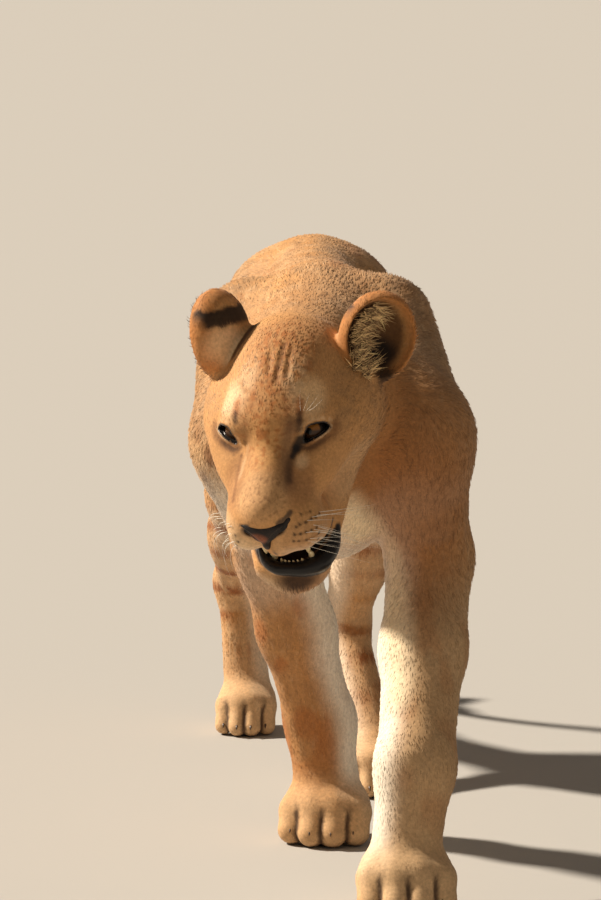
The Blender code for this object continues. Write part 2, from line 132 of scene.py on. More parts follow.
def head_axes():
    """Her left, forward and crown directions, as the columns of a matrix."""
    yaw = Matrix.Rotation(-HEAD_YAW, 3, "Z")
    pitch = Matrix.Rotation(HEAD_PITCH, 3, "X")
    roll = Matrix.Rotation(-HEAD_ROLL, 3, "Y")
    turn = np.array(yaw @ pitch @ roll)
    return turn * (1, -1, 1)


HEAD_AXES = head_axes()


def on_head(x, y, z):
    """A point x to her left, y forward and z crownward of the eyes' middle."""
    return HEAD + HEAD_AXES @ np.array((x, y, z))


def in_head(points):
    """The same three head distances for each of many walking points."""
    return (points - HEAD) @ HEAD_AXES


def eye_place(side):
    """The middle of an eyeball; side is 1 for her left and -1 for her right."""
    x, y, z = EYE_PLACE
    return on_head(side * x, y, z)


def eye_axes(side):
    """Outwards along the lids, out of the eye, and up, as columns."""
    outward = np.array((side * 0.45, 0.80, 0.42))
    along = np.array((side * 0.64, -0.68, 0.28))
    outward /= np.linalg.norm(outward)
    along -= outward * (along @ outward)
    along /= np.linalg.norm(along)
    upward = np.cross(along, outward) * side
    return HEAD_AXES @ np.array((along, outward, upward)).T


print("eyes at", (eye_place(1) - ORIGIN).round(4), (eye_place(-1) - ORIGIN).round(4))

# %% [markdown]
# ## A field of distances
# Flesh has no flat or turned surface, so it could be sculpted by hand or
# built from subdivided cages. A field is used instead: each grid point holds
# its distance to the nearest form, forms melt into each other with a fillet,
# and the skin is where the distance is nought. The grid is finest where the
# face is, and coarse along the trunk, where the coat hides small steps.

# %% Grid axes


def spaced(*stretches):
    """One grid axis: (start, step) pairs in order, ended by the last position."""
    starts, end = stretches[:-1], stretches[-1]
    stops = [start for start, _ in starts[1:]] + [end]
    return np.concatenate(
        [np.arange(start, stop - step / 3, step) for (start, step), stop in zip(starts, stops)]
    ).astype(np.float32)


print("a grid axis of two spacings", spaced((0.0, 0.5), (1.0, 1.0), 4.0))

# %% The field


class Field:
    """Distances on a grid, negative inside; a form touches only its own window."""

    FAR = 0.1
    REACH = 0.020

    def __init__(self, *axes):
        self.axes = axes
        self.values = np.full([len(axis) for axis in axes], self.FAR, np.float32)

    def window(self, form, blend):
        """The part of the grid near a form, and the open coordinates there."""
        low, high, _ = form
        reach = blend + self.REACH
        ranges = [
            slice(*np.searchsorted(axis, (lo - reach, hi + reach)))
            for axis, lo, hi in zip(self.axes, low, high)
        ]
        return tuple(ranges), np.ix_(*(axis[r] for axis, r in zip(self.axes, ranges)))

    def melt(self, form, blend):
        """Joins a form on: the lesser distance, less the square of their nearness."""
        ranges, spots = self.window(form, blend)
        old, new = self.values[ranges], form[2](*spots)
        near = np.maximum(blend - np.abs(old - new), 0) / blend
        self.values[ranges] = np.minimum(old, new) - near**2 * blend / 4

    def carve(self, form, blend):
        """Takes a form away, with an edge rounded about as wide as blend."""
        ranges, spots = self.window(form, blend)
        old, new = self.values[ranges], -form[2](*spots)
        near = np.maximum(blend - np.abs(old - new), 0) / blend
        self.values[ranges] = np.maximum(old, new) + near**2 * blend / 4

    def sink(self, depth, low, high, fade):
        """Lowers the skin by depth inside a box, fading out over a margin round it."""
        ranges, shares = [], []
        for axis, lo, hi in zip(self.axes, low, high):
            ranges.append(slice(*np.searchsorted(axis, (lo - fade, hi + fade))))
            spots = axis[ranges[-1]]
            away = np.maximum(np.maximum(lo - spots, spots - hi), 0) / fade
            shares.append(np.clip(1 - away, 0, 1))
        x, y, z = np.ix_(*shares)
        self.values[tuple(ranges)] += (depth * (x * y * z)).astype(np.float32)

    def surface(self):
        """Points and quads of the zero level, with the grid's own spacing put back."""
        grid = openvdb.FloatGrid(self.FAR)
        grid.copyFromArray(self.values)
        steps, quads = grid.convertToQuads(0.0)
        points = [
            np.interp(place, np.arange(len(axis)), axis) for place, axis in zip(steps.T, self.axes)
        ]
        return np.array(points).T, quads


print("a form reaches", 1000 * Field.REACH, "mm past its fillet")

# %% [markdown]
# ## Rods and blobs
# Bones and muscles are long or round, so two forms are enough: a tapered rod,
# which may be flattened one way, and an ellipsoid, which may be turned. Each
# form is the box that it fills and a function that gives its distances.

# %% Forms
SIDEWAYS, LENGTHWISE = (1, 0, 0), (0, 1, 0)


def rod(a, b, ra, rb, flat=None):
    """A tapered rod with round ends: distance to its line, less a radius that
    goes evenly from ra to rb. flat is (direction, ratio): thinner that way."""
    a, b = np.array(a, np.float32), np.array(b, np.float32)
    along = b - a
    thick = max(ra, rb)

    def distance(x, y, z):
        px, py, pz = x - a[0], y - a[1], z - a[2]
        t = np.clip((px * along[0] + py * along[1] + pz * along[2]) / (along @ along), 0, 1)
        px, py, pz = px - t * along[0], py - t * along[1], pz - t * along[2]
        square = px**2 + py**2 + pz**2
        if flat:
            side, ratio = np.array(flat[0], np.float32), np.float32(flat[1])
            thin = px * side[0] + py * side[1] + pz * side[2]
            square = square + thin**2 * (ratio**-2 - 1)
        return np.sqrt(square) - (np.float32(ra) + t * np.float32(rb - ra))

    return np.minimum(a, b) - thick, np.maximum(a, b) + thick, distance


def blob(centre, radii, axes=np.eye(3)):
    """An ellipsoid: its implicit value over the length of that value's slope."""
    centre, radii, axes = (np.array(v, np.float32) for v in (centre, radii, axes))

    def distance(x, y, z):
        px, py, pz = x - centre[0], y - centre[1], z - centre[2]
        own = [px * side[0] + py * side[1] + pz * side[2] for side in axes.T]
        once = np.sqrt(sum((p / r) ** 2 for p, r in zip(own, radii)))
        twice = np.sqrt(sum((p / r**2) ** 2 for p, r in zip(own, radii)))
        return once * (once - 1) / np.maximum(twice, 1e-6)

    reach = np.sqrt(((axes * radii) ** 2).sum(1))
    return centre - reach, centre + reach, distance


def hollowed(outer, inner):
    """The outer form without the inner one, as one form."""
    return *outer[:2], lambda x, y, z: np.maximum(outer[2](x, y, z), -inner[2](x, y, z))


print("a rod fills the box", *rod((0, 0, 0), (0, 0, 1), 0.2, 0.1)[:2])

# %% Paths and directions


def between(a, b, share):
    """The point that share of the way from a to b."""
    return np.array(a) * (1 - share) + np.array(b) * share


def smooth_path(stations, steps, closed=False):
    """Stations on a Catmull-Rom curve, steps to each stretch: between b and c it is
    (2b + (c - a)t + (2a - 5b + 4c - d)t^2 + (3b - a - 3c + d)t^3) / 2."""
    stations = [np.array(station, float) for station in stations]
    ends = (stations[-1], *stations[:2]) if closed else (stations[0], stations[-1])
    knots = np.array([ends[0], *stations, *ends[1:]])
    t = np.arange(steps)[:, None] / steps
    runs = []
    for a, b, c, d in zip(knots, knots[1:], knots[2:], knots[3:]):
        square, cube = 2 * a - 5 * b + 4 * c - d, 3 * b - a - 3 * c + d
        runs.append(0.5 * (2 * b + (c - a) * t + square * t**2 + cube * t**3))
    return np.concatenate(runs if closed else [*runs, knots[-1:]])


def frame_from(facing, upward):
    """Side, facing and upright directions of a cup such as an ear, as columns."""
    facing = np.array(facing, float) / np.linalg.norm(facing)
    upright = np.array(upward, float) - facing * np.dot(upward, facing)
    upright /= np.linalg.norm(upright)
    return np.array((np.cross(upright, facing), facing, upright)).T


print("tail path", len(smooth_path(TAIL, 4)), "stations")

# %% [markdown]
# ## Trunk, neck, legs and tail
# Deep chest, slack belly and broad croup come first, then each leg as rods
# between its joints, and each paw as a pad with four arched toes. They repeat
# the solids' forms, so that the skin stays inside their outline.

# %% Trunk and neck


def trunk_and_neck(body):
    """Blobs for the hollow parts, rods for spine and neck, all melted together."""
    body.melt(blob((0.022, 0.600, 0.662), (0.176, 0.370, 0.196)), 0.03)
    body.melt(blob((0.034, 0.350, 0.614), (0.134, 0.180, 0.168)), 0.05)
    body.melt(blob((0.018, 0.930, 0.722), (0.130, 0.290, 0.130)), 0.05)
    body.melt(blob((0.018, 0.840, 0.612), (0.126, 0.300, 0.118)), 0.05)
    body.melt(blob(RUMP, (0.138, 0.190, 0.128)), 0.05)
    dip, loin = (0.026, 0.760, 0.796), (0.022, 1.000, 0.800)
    body.melt(rod(WITHERS, dip, 0.064, 0.050), 0.05)
    body.melt(rod(dip, loin, 0.050, 0.050), 0.05)
    body.melt(rod(loin, RUMP + np.array((0, 0, 0.050)), 0.050, 0.066), 0.05)
    nape, back_of_head = (0.034, 0.420, 0.722), (-0.008, 0.180, 0.712)
    body.melt(rod(nape, back_of_head, 0.142, 0.112, (SIDEWAYS, 0.92)), 0.06)
    body.melt(rod((0.030, 0.300, 0.606), (-0.014, 0.150, 0.622), 0.100, 0.082), 0.05)
    body.melt(blob((0.118, 0.250, 0.690), (0.052, 0.066, 0.070)), 0.06)


print("spine from", WITHERS, "to", RUMP)

# %% Legs


def fore_leg(body, leg):
    """Shoulder blade, upper arm, forearm and paw."""
    scapula, shoulder, elbow, wrist, ball = (
        np.array(leg[joint]) for joint in ("scapula", "shoulder", "elbow", "wrist", "ball")
    )
    body.melt(rod(scapula, shoulder, 0.072, 0.086, (SIDEWAYS, 0.9)), 0.05)
    body.melt(rod(shoulder, elbow, 0.082, 0.064, (SIDEWAYS, 0.92)), 0.04)
    back_of_arm = between(scapula, shoulder, 0.55) + (0, 0.110, -0.060)
    body.melt(rod(back_of_arm, elbow + (0, 0.040, 0.015), 0.062, 0.040, (SIDEWAYS, 0.8)), 0.05)
    middle = between(elbow, wrist, 0.45)
    body.melt(rod(elbow, middle, 0.065, 0.059, (LENGTHWISE, 0.92)), 0.03)
    body.melt(rod(middle, wrist, 0.059, 0.054, (LENGTHWISE, 0.84)), 0.03)
    body.melt(rod(wrist, ball + (0, 0.012, 0.020), 0.053, 0.050, (LENGTHWISE, 0.84)), 0.03)
    body.melt(blob(wrist + (0, 0.040, -0.020), (0.020, 0.016, 0.020)), 0.02)
    paw(body, ball, leg["heading"], *FORE_PAW)


def hind_leg(body, leg, side):
    """Thigh, shank, hock and foot; side is 1 for her left."""
    hip, knee, hock, ball = (np.array(leg[joint]) for joint in ("hip", "knee", "hock", "ball"))
    body.melt(rod(hip, knee, 0.118, 0.070, (SIDEWAYS, 0.66)), 0.05)
    seat = hip + (side * -0.005, 0.120, -0.010)
    calf = between(knee, hock, 0.35) + (0, 0.030, 0.0)
    body.melt(rod(seat, calf, 0.074, 0.052, (SIDEWAYS, 0.72)), 0.05)
    body.melt(rod(hip + (0, -0.130, 0.0), knee, 0.062, 0.062, (SIDEWAYS, 0.66)), 0.05)
    body.melt(rod(knee, between(knee, hock, 0.55), 0.064, 0.048, (SIDEWAYS, 0.88)), 0.04)
    body.melt(rod(between(knee, hock, 0.5), hock, 0.048, 0.038), 0.04)
    body.melt(rod(calf, hock + (0, 0.022, 0.030), 0.036, 0.020), 0.04)
    body.melt(blob(hock + (0, 0.020, 0.022), (0.026, 0.022, 0.040)), 0.04)
    body.melt(rod(hock, ball + (0, 0.022, 0.024), 0.039, 0.041, (LENGTHWISE, 0.86)), 0.03)
    paw(body, ball, leg["heading"], *HIND_PAW)


print("legs", len(FORE_LEGS) + len(HIND_LEGS))

# %% Paws


def toes(ball, heading, width, length):
    """Root, arch and tip of each of the four toes, with how thick they are."""
    forward = np.array((math.sin(heading), -math.cos(heading), 0))
    across = np.array((math.cos(heading), math.sin(heading), 0))
    thick = width * 0.172
    floor = np.array((ball[0], ball[1], 0))
    found = []
    for place in (-1.5, -0.5, 0.5, 1.5):
        outer = abs(place) > 1
        spread = across * place * (width - 2 * thick) / 3
        reach = length * (0.80 if outer else 1.0) - thick
        found.append((
            floor + spread * 0.75 + (0, 0, 0.055),
            floor + spread + forward * reach * 0.62 + (0, 0, 0.048 if outer else 0.053),
            floor + spread * 1.04 + forward * reach + (0, 0, thick * 0.9),
            thick, forward,
        ))
    return found


def paw(body, ball, heading, width, length):
    """A pad and four arched toes, fanned out, the middle two reaching furthest."""
    forward = np.array((math.sin(heading), -math.cos(heading), 0))
    across = np.array((math.cos(heading), math.sin(heading), 0))
    axes = np.array((across, forward, (0, 0, 1))).T
    middle = ball + forward * 0.008 + (0, 0, -0.006)
    body.melt(blob(middle, (width * 0.47, length * 0.66, 0.046), axes), 0.03)
    for root, arch, tip, thick, _ in toes(ball, heading, width, length):
        body.melt(rod(root, arch, thick * 1.05, thick), 0.018)
        body.melt(rod(arch, tip, thick, thick * 0.98), 0.006)


print("toes on each paw", len(toes((0, 0, 0), 0, *FORE_PAW)))

# %% [markdown]
# ## The face
# A lioness's face is skull, cheeks, a broad flat bridge, whisker pads and a
# short deep chin. The lids are ridges round an almond cut into a shallow
# ball; the mouth is a lens-shaped gap with a fleshy lower lip along it.

# %% The opening of the eye
LIDS = [                    # along and up from the eyeball's middle, in its axes
    (-0.0198, 0.0008), (-0.0165, 0.0065), (-0.0120, 0.0115), (-0.0045, 0.0165),
    (0.0015, 0.0150), (0.0070, 0.0115), (0.0150, 0.0036), (0.0190, -0.0068),
    (0.0125, -0.0068), (0.0068, -0.0060), (-0.0025, -0.0043), (-0.0129, -0.0018),
]
UNDER_EYE = 0.0165          # how near the eyeball's middle the opening is cut


def outline_distance(along, up, outline):
    """Signed distance in a plane to a closed outline: the least distance to its
    edges, negative where a ray crosses the outline an odd number of times."""
    best, inside = None, False
    for (ax, ay), (bx, by) in zip(outline, np.roll(outline, -1, axis=0)):
        ex, ey = bx - ax, by - ay
        t = np.clip(((along - ax) * ex + (up - ay) * ey) / (ex * ex + ey * ey), 0, 1)
        gap = np.hypot(along - ax - t * ex, up - ay - t * ey)
        best = gap if best is None else np.minimum(best, gap)
        crosses = ((ay > up) != (by > up)) & (along < ex * (up - ay) / (ey if ey else 1e-9) + ax)
        inside = inside ^ crosses
    return np.where(inside, -best, best)


def lid_opening(side):
    """An upright prism on the lids' outline, down to just under the eyeball's surface."""
    centre, axes = eye_place(side).astype(np.float32), eye_axes(side).astype(np.float32)
    outline = smooth_path(LIDS, 3, closed=True)

    def distance(x, y, z):
        px, py, pz = x - centre[0], y - centre[1], z - centre[2]
        along, out, up = (px * a[0] + py * a[1] + pz * a[2] for a in axes.T)
        ball = np.sqrt(along**2 + out**2 + up**2)
        below = np.maximum(UNDER_EYE - ball, -out)
        return np.maximum(outline_distance(along, up, outline), below)

    return centre - 0.030, centre + 0.030, distance


print("lids' outline", len(LIDS), "points")

# %% The forms of the head


def head_forms(body):
    """Skull, cheeks, muzzle, lower jaw and lids, all in the head's own frame."""

    def lump(x, y, z, radii, blend):
        for side in (1, -1) if x else (1,):
            body.melt(blob(on_head(x * side, y, z), radii, HEAD_AXES), blend)

    lump(0, -0.095, 0.006, (0.080, 0.105, 0.070), 0.03)
    lump(0, -0.035, 0.018, (0.062, 0.066, 0.040), 0.03)
    lump(0.068, -0.055, -0.028, (0.044, 0.072, 0.048), 0.03)
    lump(0.076, -0.105, -0.050, (0.050, 0.076, 0.062), 0.03)
    body.melt(rod(on_head(0, 0.005, -0.010), on_head(0, 0.112, -0.042), 0.037, 0.031), 0.03)
    lump(0, 0.066, -0.054, (0.062, 0.072, 0.042), 0.02)
    body.melt(blob(on_head(0.038, 0.096, -0.078), (0.037, 0.044, 0.039), HEAD_AXES), 0.014)
    body.melt(blob(on_head(-0.029, 0.099, -0.075), (0.034, 0.043, 0.038), HEAD_AXES), 0.014)
    body.melt(blob(on_head(0.012, 0.112, -0.088), (0.026, 0.032, 0.030), HEAD_AXES), 0.012)
    body.melt(blob(on_head(0.056, 0.070, -0.100), (0.020, 0.036, 0.023), HEAD_AXES), 0.012)
    body.melt(blob(on_head(-0.046, 0.070, -0.098), (0.018, 0.034, 0.022), HEAD_AXES), 0.012)
    lump(0.052, 0.010, -0.044, (0.036, 0.046, 0.036), 0.03)
    lump(0.042, -0.006, 0.020, (0.030, 0.030, 0.018), 0.02)
    lump(0, -0.030, -0.108, (0.060, 0.090, 0.042), 0.03)
    for side in (1, -1):
        corner = on_head(side * 0.056, -0.060, -0.100)
        front = on_head(side * 0.027 + 0.012, 0.092, -0.160)
        body.melt(rod(corner, front, 0.036, 0.029), 0.02)
        body.melt(blob(eye_place(side), (0.0215,) * 3), 0.012)
    body.melt(blob(on_head(0.014, 0.100, -0.172), (0.037, 0.032, 0.027), HEAD_AXES), 0.015)


def ear(body, base, facing, upward):
    """A round cup on a short stalk, open the way it faces."""
    axes = frame_from(facing, upward)
    centre = np.array(base)
    outer = blob(centre, EAR_SIZE, axes)
    inner = blob(centre + axes[:, 1] * 0.026, (0.049, 0.047, 0.055), axes)
    body.melt(hollowed(outer, inner), 0.012)


print("an ear is", *(2000 * EAR_SIZE).round().astype(int), "mm wide, deep and high")

# %% [markdown]
# ## Creases, lids, lips
# The finest forms of the face are too small for the solids. They could be
# bump in the material, but lids and lips show their shape from every side, so
# they are cut into and laid on the field, where the grid is finest.

# %% Fine forms of the face
LID_FOLD = [
    (-0.0080, 0.0105, 0.0205), (0.0066, 0.0120, 0.0195), (0.0172, 0.0105, 0.0100),
    (0.0238, 0.0040, -0.0045),
]
LOWER_LIP = [               # in the head's frame; the last value is the radius
    (-0.0265, 0.088, -0.131, 0.0050), (-0.0180, 0.109, -0.138, 0.0060),
    (-0.0027, 0.118, -0.1445, 0.0070), (0.0159, 0.119, -0.1450, 0.0080),
    (0.0367, 0.117, -0.1465, 0.0090), (0.0550, 0.103, -0.1490, 0.0110),
    (0.0640, 0.078, -0.1490, 0.0115), (0.0660, 0.056, -0.1420, 0.0095),
    (0.0640, 0.036, -0.1340, 0.0060),
]
FOREHEAD_CREASES = [
    [(0.0113, -0.0963, 0.0758), (0.0112, -0.0692, 0.0739), (0.0099, -0.0426, 0.0700),
     (0.0101, -0.0268, 0.0659)],
    [(0.0229, -0.0884, 0.0732), (0.0215, -0.0689, 0.0721), (0.0239, -0.0398, 0.0667)],
    [(-0.0060, -0.0788, 0.0752), (-0.0027, -0.0426, 0.0705)],
]
EAR_NOTCH = np.array(((0.012, 0.018, -0.026), (0.020, 0.044, -0.062)))


def fine_face(body):
    """What the solids leave out: creases, lids, ear notches, the mouth and its lips."""
    for path in FOREHEAD_CREASES:
        line = [on_head(*p) for p in path]
        for a, b in zip(line, line[1:]):
            body.carve(rod(a, b, 0.0020, 0.0020), 0.006)
    for side in (1, -1):
        centre, axes = eye_place(side), eye_axes(side)
        fold = smooth_path([centre + axes @ np.array(p) for p in LID_FOLD], 3)
        for a, b in zip(fold, fold[1:]):
            body.melt(rod(a, b, 0.0030, 0.0030), 0.004)
        body.carve(lid_opening(side), 0.0020)
    for side, sign in (("left", 1), ("right", -1)):
        base, facing, upward = EARS[side]
        start, end = base + EAR_NOTCH * (sign, 1, 1) @ frame_from(facing, upward).T
        body.carve(rod(start, end, 0.016, 0.012), 0.006)
    tilt = np.array(Matrix.Rotation(MOUTH_TILT, 3, "X"))
    body.carve(blob(on_head(*MOUTH), (0.062, 0.062, 0.011), HEAD_AXES @ tilt), 0.006)
    lip = smooth_path([(*on_head(*p[:3]), p[3]) for p in LOWER_LIP], 3)
    for a, b in zip(lip, lip[1:]):
        body.melt(rod(a[:3], b[:3], a[3], b[3]), 0.005)
    above, below = on_head(0.003, 0.152, -0.070), on_head(0.012, 0.150, -0.112)
    body.carve(rod(above, below, 0.0030, 0.0025), 0.004)
    body.carve(blob(on_head(0, 0.134, -0.0575), (0.0270, 0.0110, 0.0100), HEAD_AXES), 0.002)


print("creases", len(FOREHEAD_CREASES), "and a lower lip of", len(LOWER_LIP), "stations")

# %% [markdown]
# ## The skin
# The solids reach to the tips of the coat. The skin lies under it, so the
# field is lowered by the coat's depth: most on the trunk, least on the face
# and feet. One mesh for the whole animal has no seam. Where it is finer than it
# needs to be, it is thinned, and under her soles it is pressed flat.

# %% The whole field
COAT_DEPTH, FACE_DEPTH = 0.0050, 0.0018
COAT_LOW, COAT_HIGH, COAT_FADE = (-1, 0.30, 0.16), (1, 2.5, 2.0), 0.06


def whole_body():
    """The field of the complete animal, lowered by the depth of her coat."""
    body = Field(
        spaced((-0.20, 0.0026), (-0.115, 0.0016), (0.075, 0.0026), 0.29),
        spaced((-0.12, 0.0016), (0.085, 0.0024), (0.26, 0.0036), (0.62, 0.0058), 1.80),
        spaced((-0.02, 0.0030), (0.10, 0.0050), (0.42, 0.0024), (0.47, 0.0016), (0.72, 0.0024),
               0.93),
    )
    trunk_and_neck(body)
    for side, sign in (("left", 1), ("right", -1)):
        fore_leg(body, FORE_LEGS[side])
        hind_leg(body, HIND_LEGS[side], sign)
    stations = smooth_path(TAIL, 4)
    for start, end in zip(stations, stations[1:]):
        body.melt(rod(start[:3], end[:3], start[3], end[3]), 0.002)
    head_forms(body)
    for side in ("left", "right"):
        ear(body, *EARS[side])
    body.values += np.float32(FACE_DEPTH)
    body.sink(COAT_DEPTH - FACE_DEPTH, COAT_LOW, COAT_HIGH, COAT_FADE)
    fine_face(body)
    return body


points, quads = whole_body().surface()
print("skin field gives", len(points), "points")

# %% From arrays to an object


def mesh_from(name, points, faces):
    """A mesh from arrays of points and of equal-sided faces, smooth shaded."""
    mesh = bpy.data.meshes.new(name)
    sides = faces.shape[1]
    mesh.vertices.add(len(points))
    mesh.vertices.foreach_set("co", np.ascontiguousarray(points, np.float32).ravel())
    mesh.loops.add(faces.size)
    mesh.loops.foreach_set("vertex_index", np.ascontiguousarray(faces, np.int32).ravel())
    mesh.polygons.add(len(faces))
    mesh.polygons.foreach_set("loop_start", np.arange(len(faces), dtype=np.int32) * sides)
    mesh.update(calc_edges=True)
    mesh.polygons.foreach_set("use_smooth", np.ones(len(faces), bool))
    return mesh


def place(name, mesh):
    """The mesh as an object at the origin, riding on the one body."""
    thing = bpy.data.objects.new(name, mesh)
    bpy.context.scene.collection.objects.link(thing)
    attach(thing, "root")
    return thing


print("one function makes every mesh, one places it")

# %% Make the skin
FACE_TRIANGLES, SKULL_TRIANGLES, TRUNK_TRIANGLES = 76000, 38000, 80000
SOLE_GAP = 0.0008                 # from the floor to the skin of her soles


def thinned(points, quads):
    """The skin's mesh, kept fine round eyes, nose and mouth and coarse on the trunk."""
    raw = mesh_from("raw", points, quads)
    holder = bpy.data.objects.new("raw", raw)
    bpy.context.scene.collection.objects.link(holder)
    face = in_head(points)
    x, y, z = face.T
    on_face = (y > -0.035) & (np.abs(x) < 0.095) & (z < 0.045) & (z > -0.21)
    on_face &= np.linalg.norm(face, axis=1) < 0.25
    on_skull = ~on_face & (np.linalg.norm(face - (0, -0.06, 0.0), axis=1) < 0.20)
    count = 2 * len(quads)
    skull, front = on_skull.mean() * count, on_face.mean() * count
    for name, chosen, size, goal in (
        ("trunk", ~(on_face | on_skull), count - (skull + front), TRUNK_TRIANGLES),
        ("skull", on_skull, skull, SKULL_TRIANGLES), ("face", on_face, front, FACE_TRIANGLES),
    ):
        if size <= goal:
            continue
        group = holder.vertex_groups.new(name=name)
        group.add(np.flatnonzero(chosen).tolist(), 1.0, "REPLACE")
        thin = holder.modifiers.new(name, "DECIMATE")
        thin.vertex_group, thin.vertex_group_factor = name, 1.0
        after = count - size + goal
        thin.ratio, count = after / count, after
    graph = bpy.context.evaluated_depsgraph_get()
    mesh = bpy.data.meshes.new_from_object(holder.evaluated_get(graph))
    bpy.data.objects.remove(holder)
    return mesh


points[:, 2] = np.maximum(points[:, 2], SOLE_GAP)
skin_mesh = thinned(points, quads)
left = sum(len(polygon.vertices) - 2 for polygon in skin_mesh.polygons)
print("skin", 2 * len(quads), "triangles thinned to", left)

# %% [markdown]
# ## Markings
# A tawny coat is never one colour: it is grizzled along the back, cream under
# the belly and inside the legs, blotched on young legs, and drawn with dark
# lines round the eyes. It could be painted by hand on an unwrapped skin. Here
# one function paints any set of points from soft patches, strokes and noise,
# so that skin and tufts always carry the same marks and no seam shows.

# %% Colours


def linear(code):
    """An sRGB hex colour as linear red, green and blue."""
    value = np.array([int(code[i:i + 2], 16) for i in (1, 3, 5)]) / 255
    return np.where(value <= 0.04045, value / 12.92, ((value + 0.055) / 1.055) ** 2.4)


TAWNY, GOLD, SAND = linear("#bf8c59"), linear("#cf985c"), linear("#d3ad83")
CREAM, PALE = linear("#f6e8d4"), linear("#ecca9f")
GRIZZLE, RUST, BROWN = linear("#8d7053"), linear("#a8632b"), linear("#6b4020")
UMBER, SOOT, MOUTH_SHADE = linear("#3a2416"), linear("#15100e"), linear("#170b0b")
print("tawny as linear light", TAWNY.round(3))

# %% Noise


def noise(points, size, seed=0):
    """Value noise from 0 to 1: random numbers on a lattice of that size in
    metres, eased between its eight corners."""
    spots = np.asarray(points) / size + seed * 17.31
    cell = np.floor(spots).astype(np.int64)
    part = spots - cell
    part = part * part * (3 - 2 * part)
    total = np.zeros(len(spots))
    for corner in np.ndindex(2, 2, 2):
        i, j, k = (cell + corner).T
        hashed = (i * 73856093) ^ (j * 19349663) ^ (k * 83492791) ^ (seed * 97531)
        hashed = (hashed ^ (hashed >> 13)) * 1274126177
        hashed ^= hashed >> 16
        total += (hashed & 0xFFFF) / 65535 * np.prod(np.where(corner, part, 1 - part), axis=1)
    return total


print("a 4 mm noise is", noise(np.array(((0.1, 0.2, 0.3),)), 0.004).round(3), "at one point")

# %% Soft shapes


def step(value, low, high):
    """0 below low, 1 above high, and an eased ramp between."""
    t = np.clip((value - low) / (high - low), 0, 1)
    return t * t * (3 - 2 * t)


def fall(value, low, high):
    """1 below low, 0 above high, and an eased ramp between."""
    return step(-value, -high, -low)


def speckle(points, size, seed, low, high):
    """Noise of that size, sharpened to spots by its step from low to high."""
    return step(noise(points, size, seed), low, high)


def unit(rows):
    """Each row at length one."""
    return rows / np.maximum(np.linalg.norm(rows, axis=1, keepdims=True), 1e-9)


def patch(points, centre, radii, soft=0.35, axes=np.eye(3)):
    """1 inside an ellipsoid, fading to 0 across its edge."""
    q = np.linalg.norm((points - np.array(centre)) @ axes / np.array(radii), axis=1)
    return fall(q, 1 - soft, 1 + soft)


def line_distance(points, path):
    """The least distance from each point to a chain of straight stretches."""
    path = np.array(path, float)[:, :3]
    best = np.full(len(points), 9.0)
    for a, b in zip(path, path[1:]):
        along = b - a
        t = np.clip((points - a) @ along / (along @ along), 0, 1)
        best = np.minimum(best, np.linalg.norm(points - a - t[:, None] * along, axis=1))
    return best


def stroke(points, path, width, soft=0.4):
    """1 on a line, fading to 0 across its edge at that half-width."""
    return fall(line_distance(points, path) / width, 1 - soft, 1 + soft)


def mixed(colours, target, weight):
    """Each colour moved towards the target by its own weight."""
    return colours + (target - colours) * np.clip(weight, 0, 1)[:, None]


class Paint:
    """Colours and bareness of some points, laid on one mark after another."""

    def __init__(self, count):
        self.colours = np.tile(TAWNY, (count, 1))
        self.bare = np.zeros(count)

    def lay(self, colour, weight, bare=0.0):
        """Moves every colour towards this one by its own weight."""
        self.colours = mixed(self.colours, colour, weight)
        self.bare = np.maximum(self.bare, bare)


print("half way up a ramp", step(0.5, 0.0, 1.0), "and three quarters up", step(0.75, 0.0, 1.0))

# %% [markdown]
# ## Trunk and legs
# Along her sides black-tipped hairs dull the tawny, below and between the legs
# she is cream, and a young lioness keeps her cub's blotches on the forelegs
# and bars on the hind legs. Blotches and bars are noise and a wave cut off
# sharply, and each leg's pale inner face is told by where its skin looks.

# %% Paint the trunk
# a strip of pale fur down the chest, painted paler still as light where the lamp falls short
PALE_AND_LIT_CHEST_STRIP = [
    (.055, .180, .560), (.085, .220, .515), (.110, .240, .470),
    (.126, .215, .420), (.133, .165, .365), (.130, .120, .300),
]


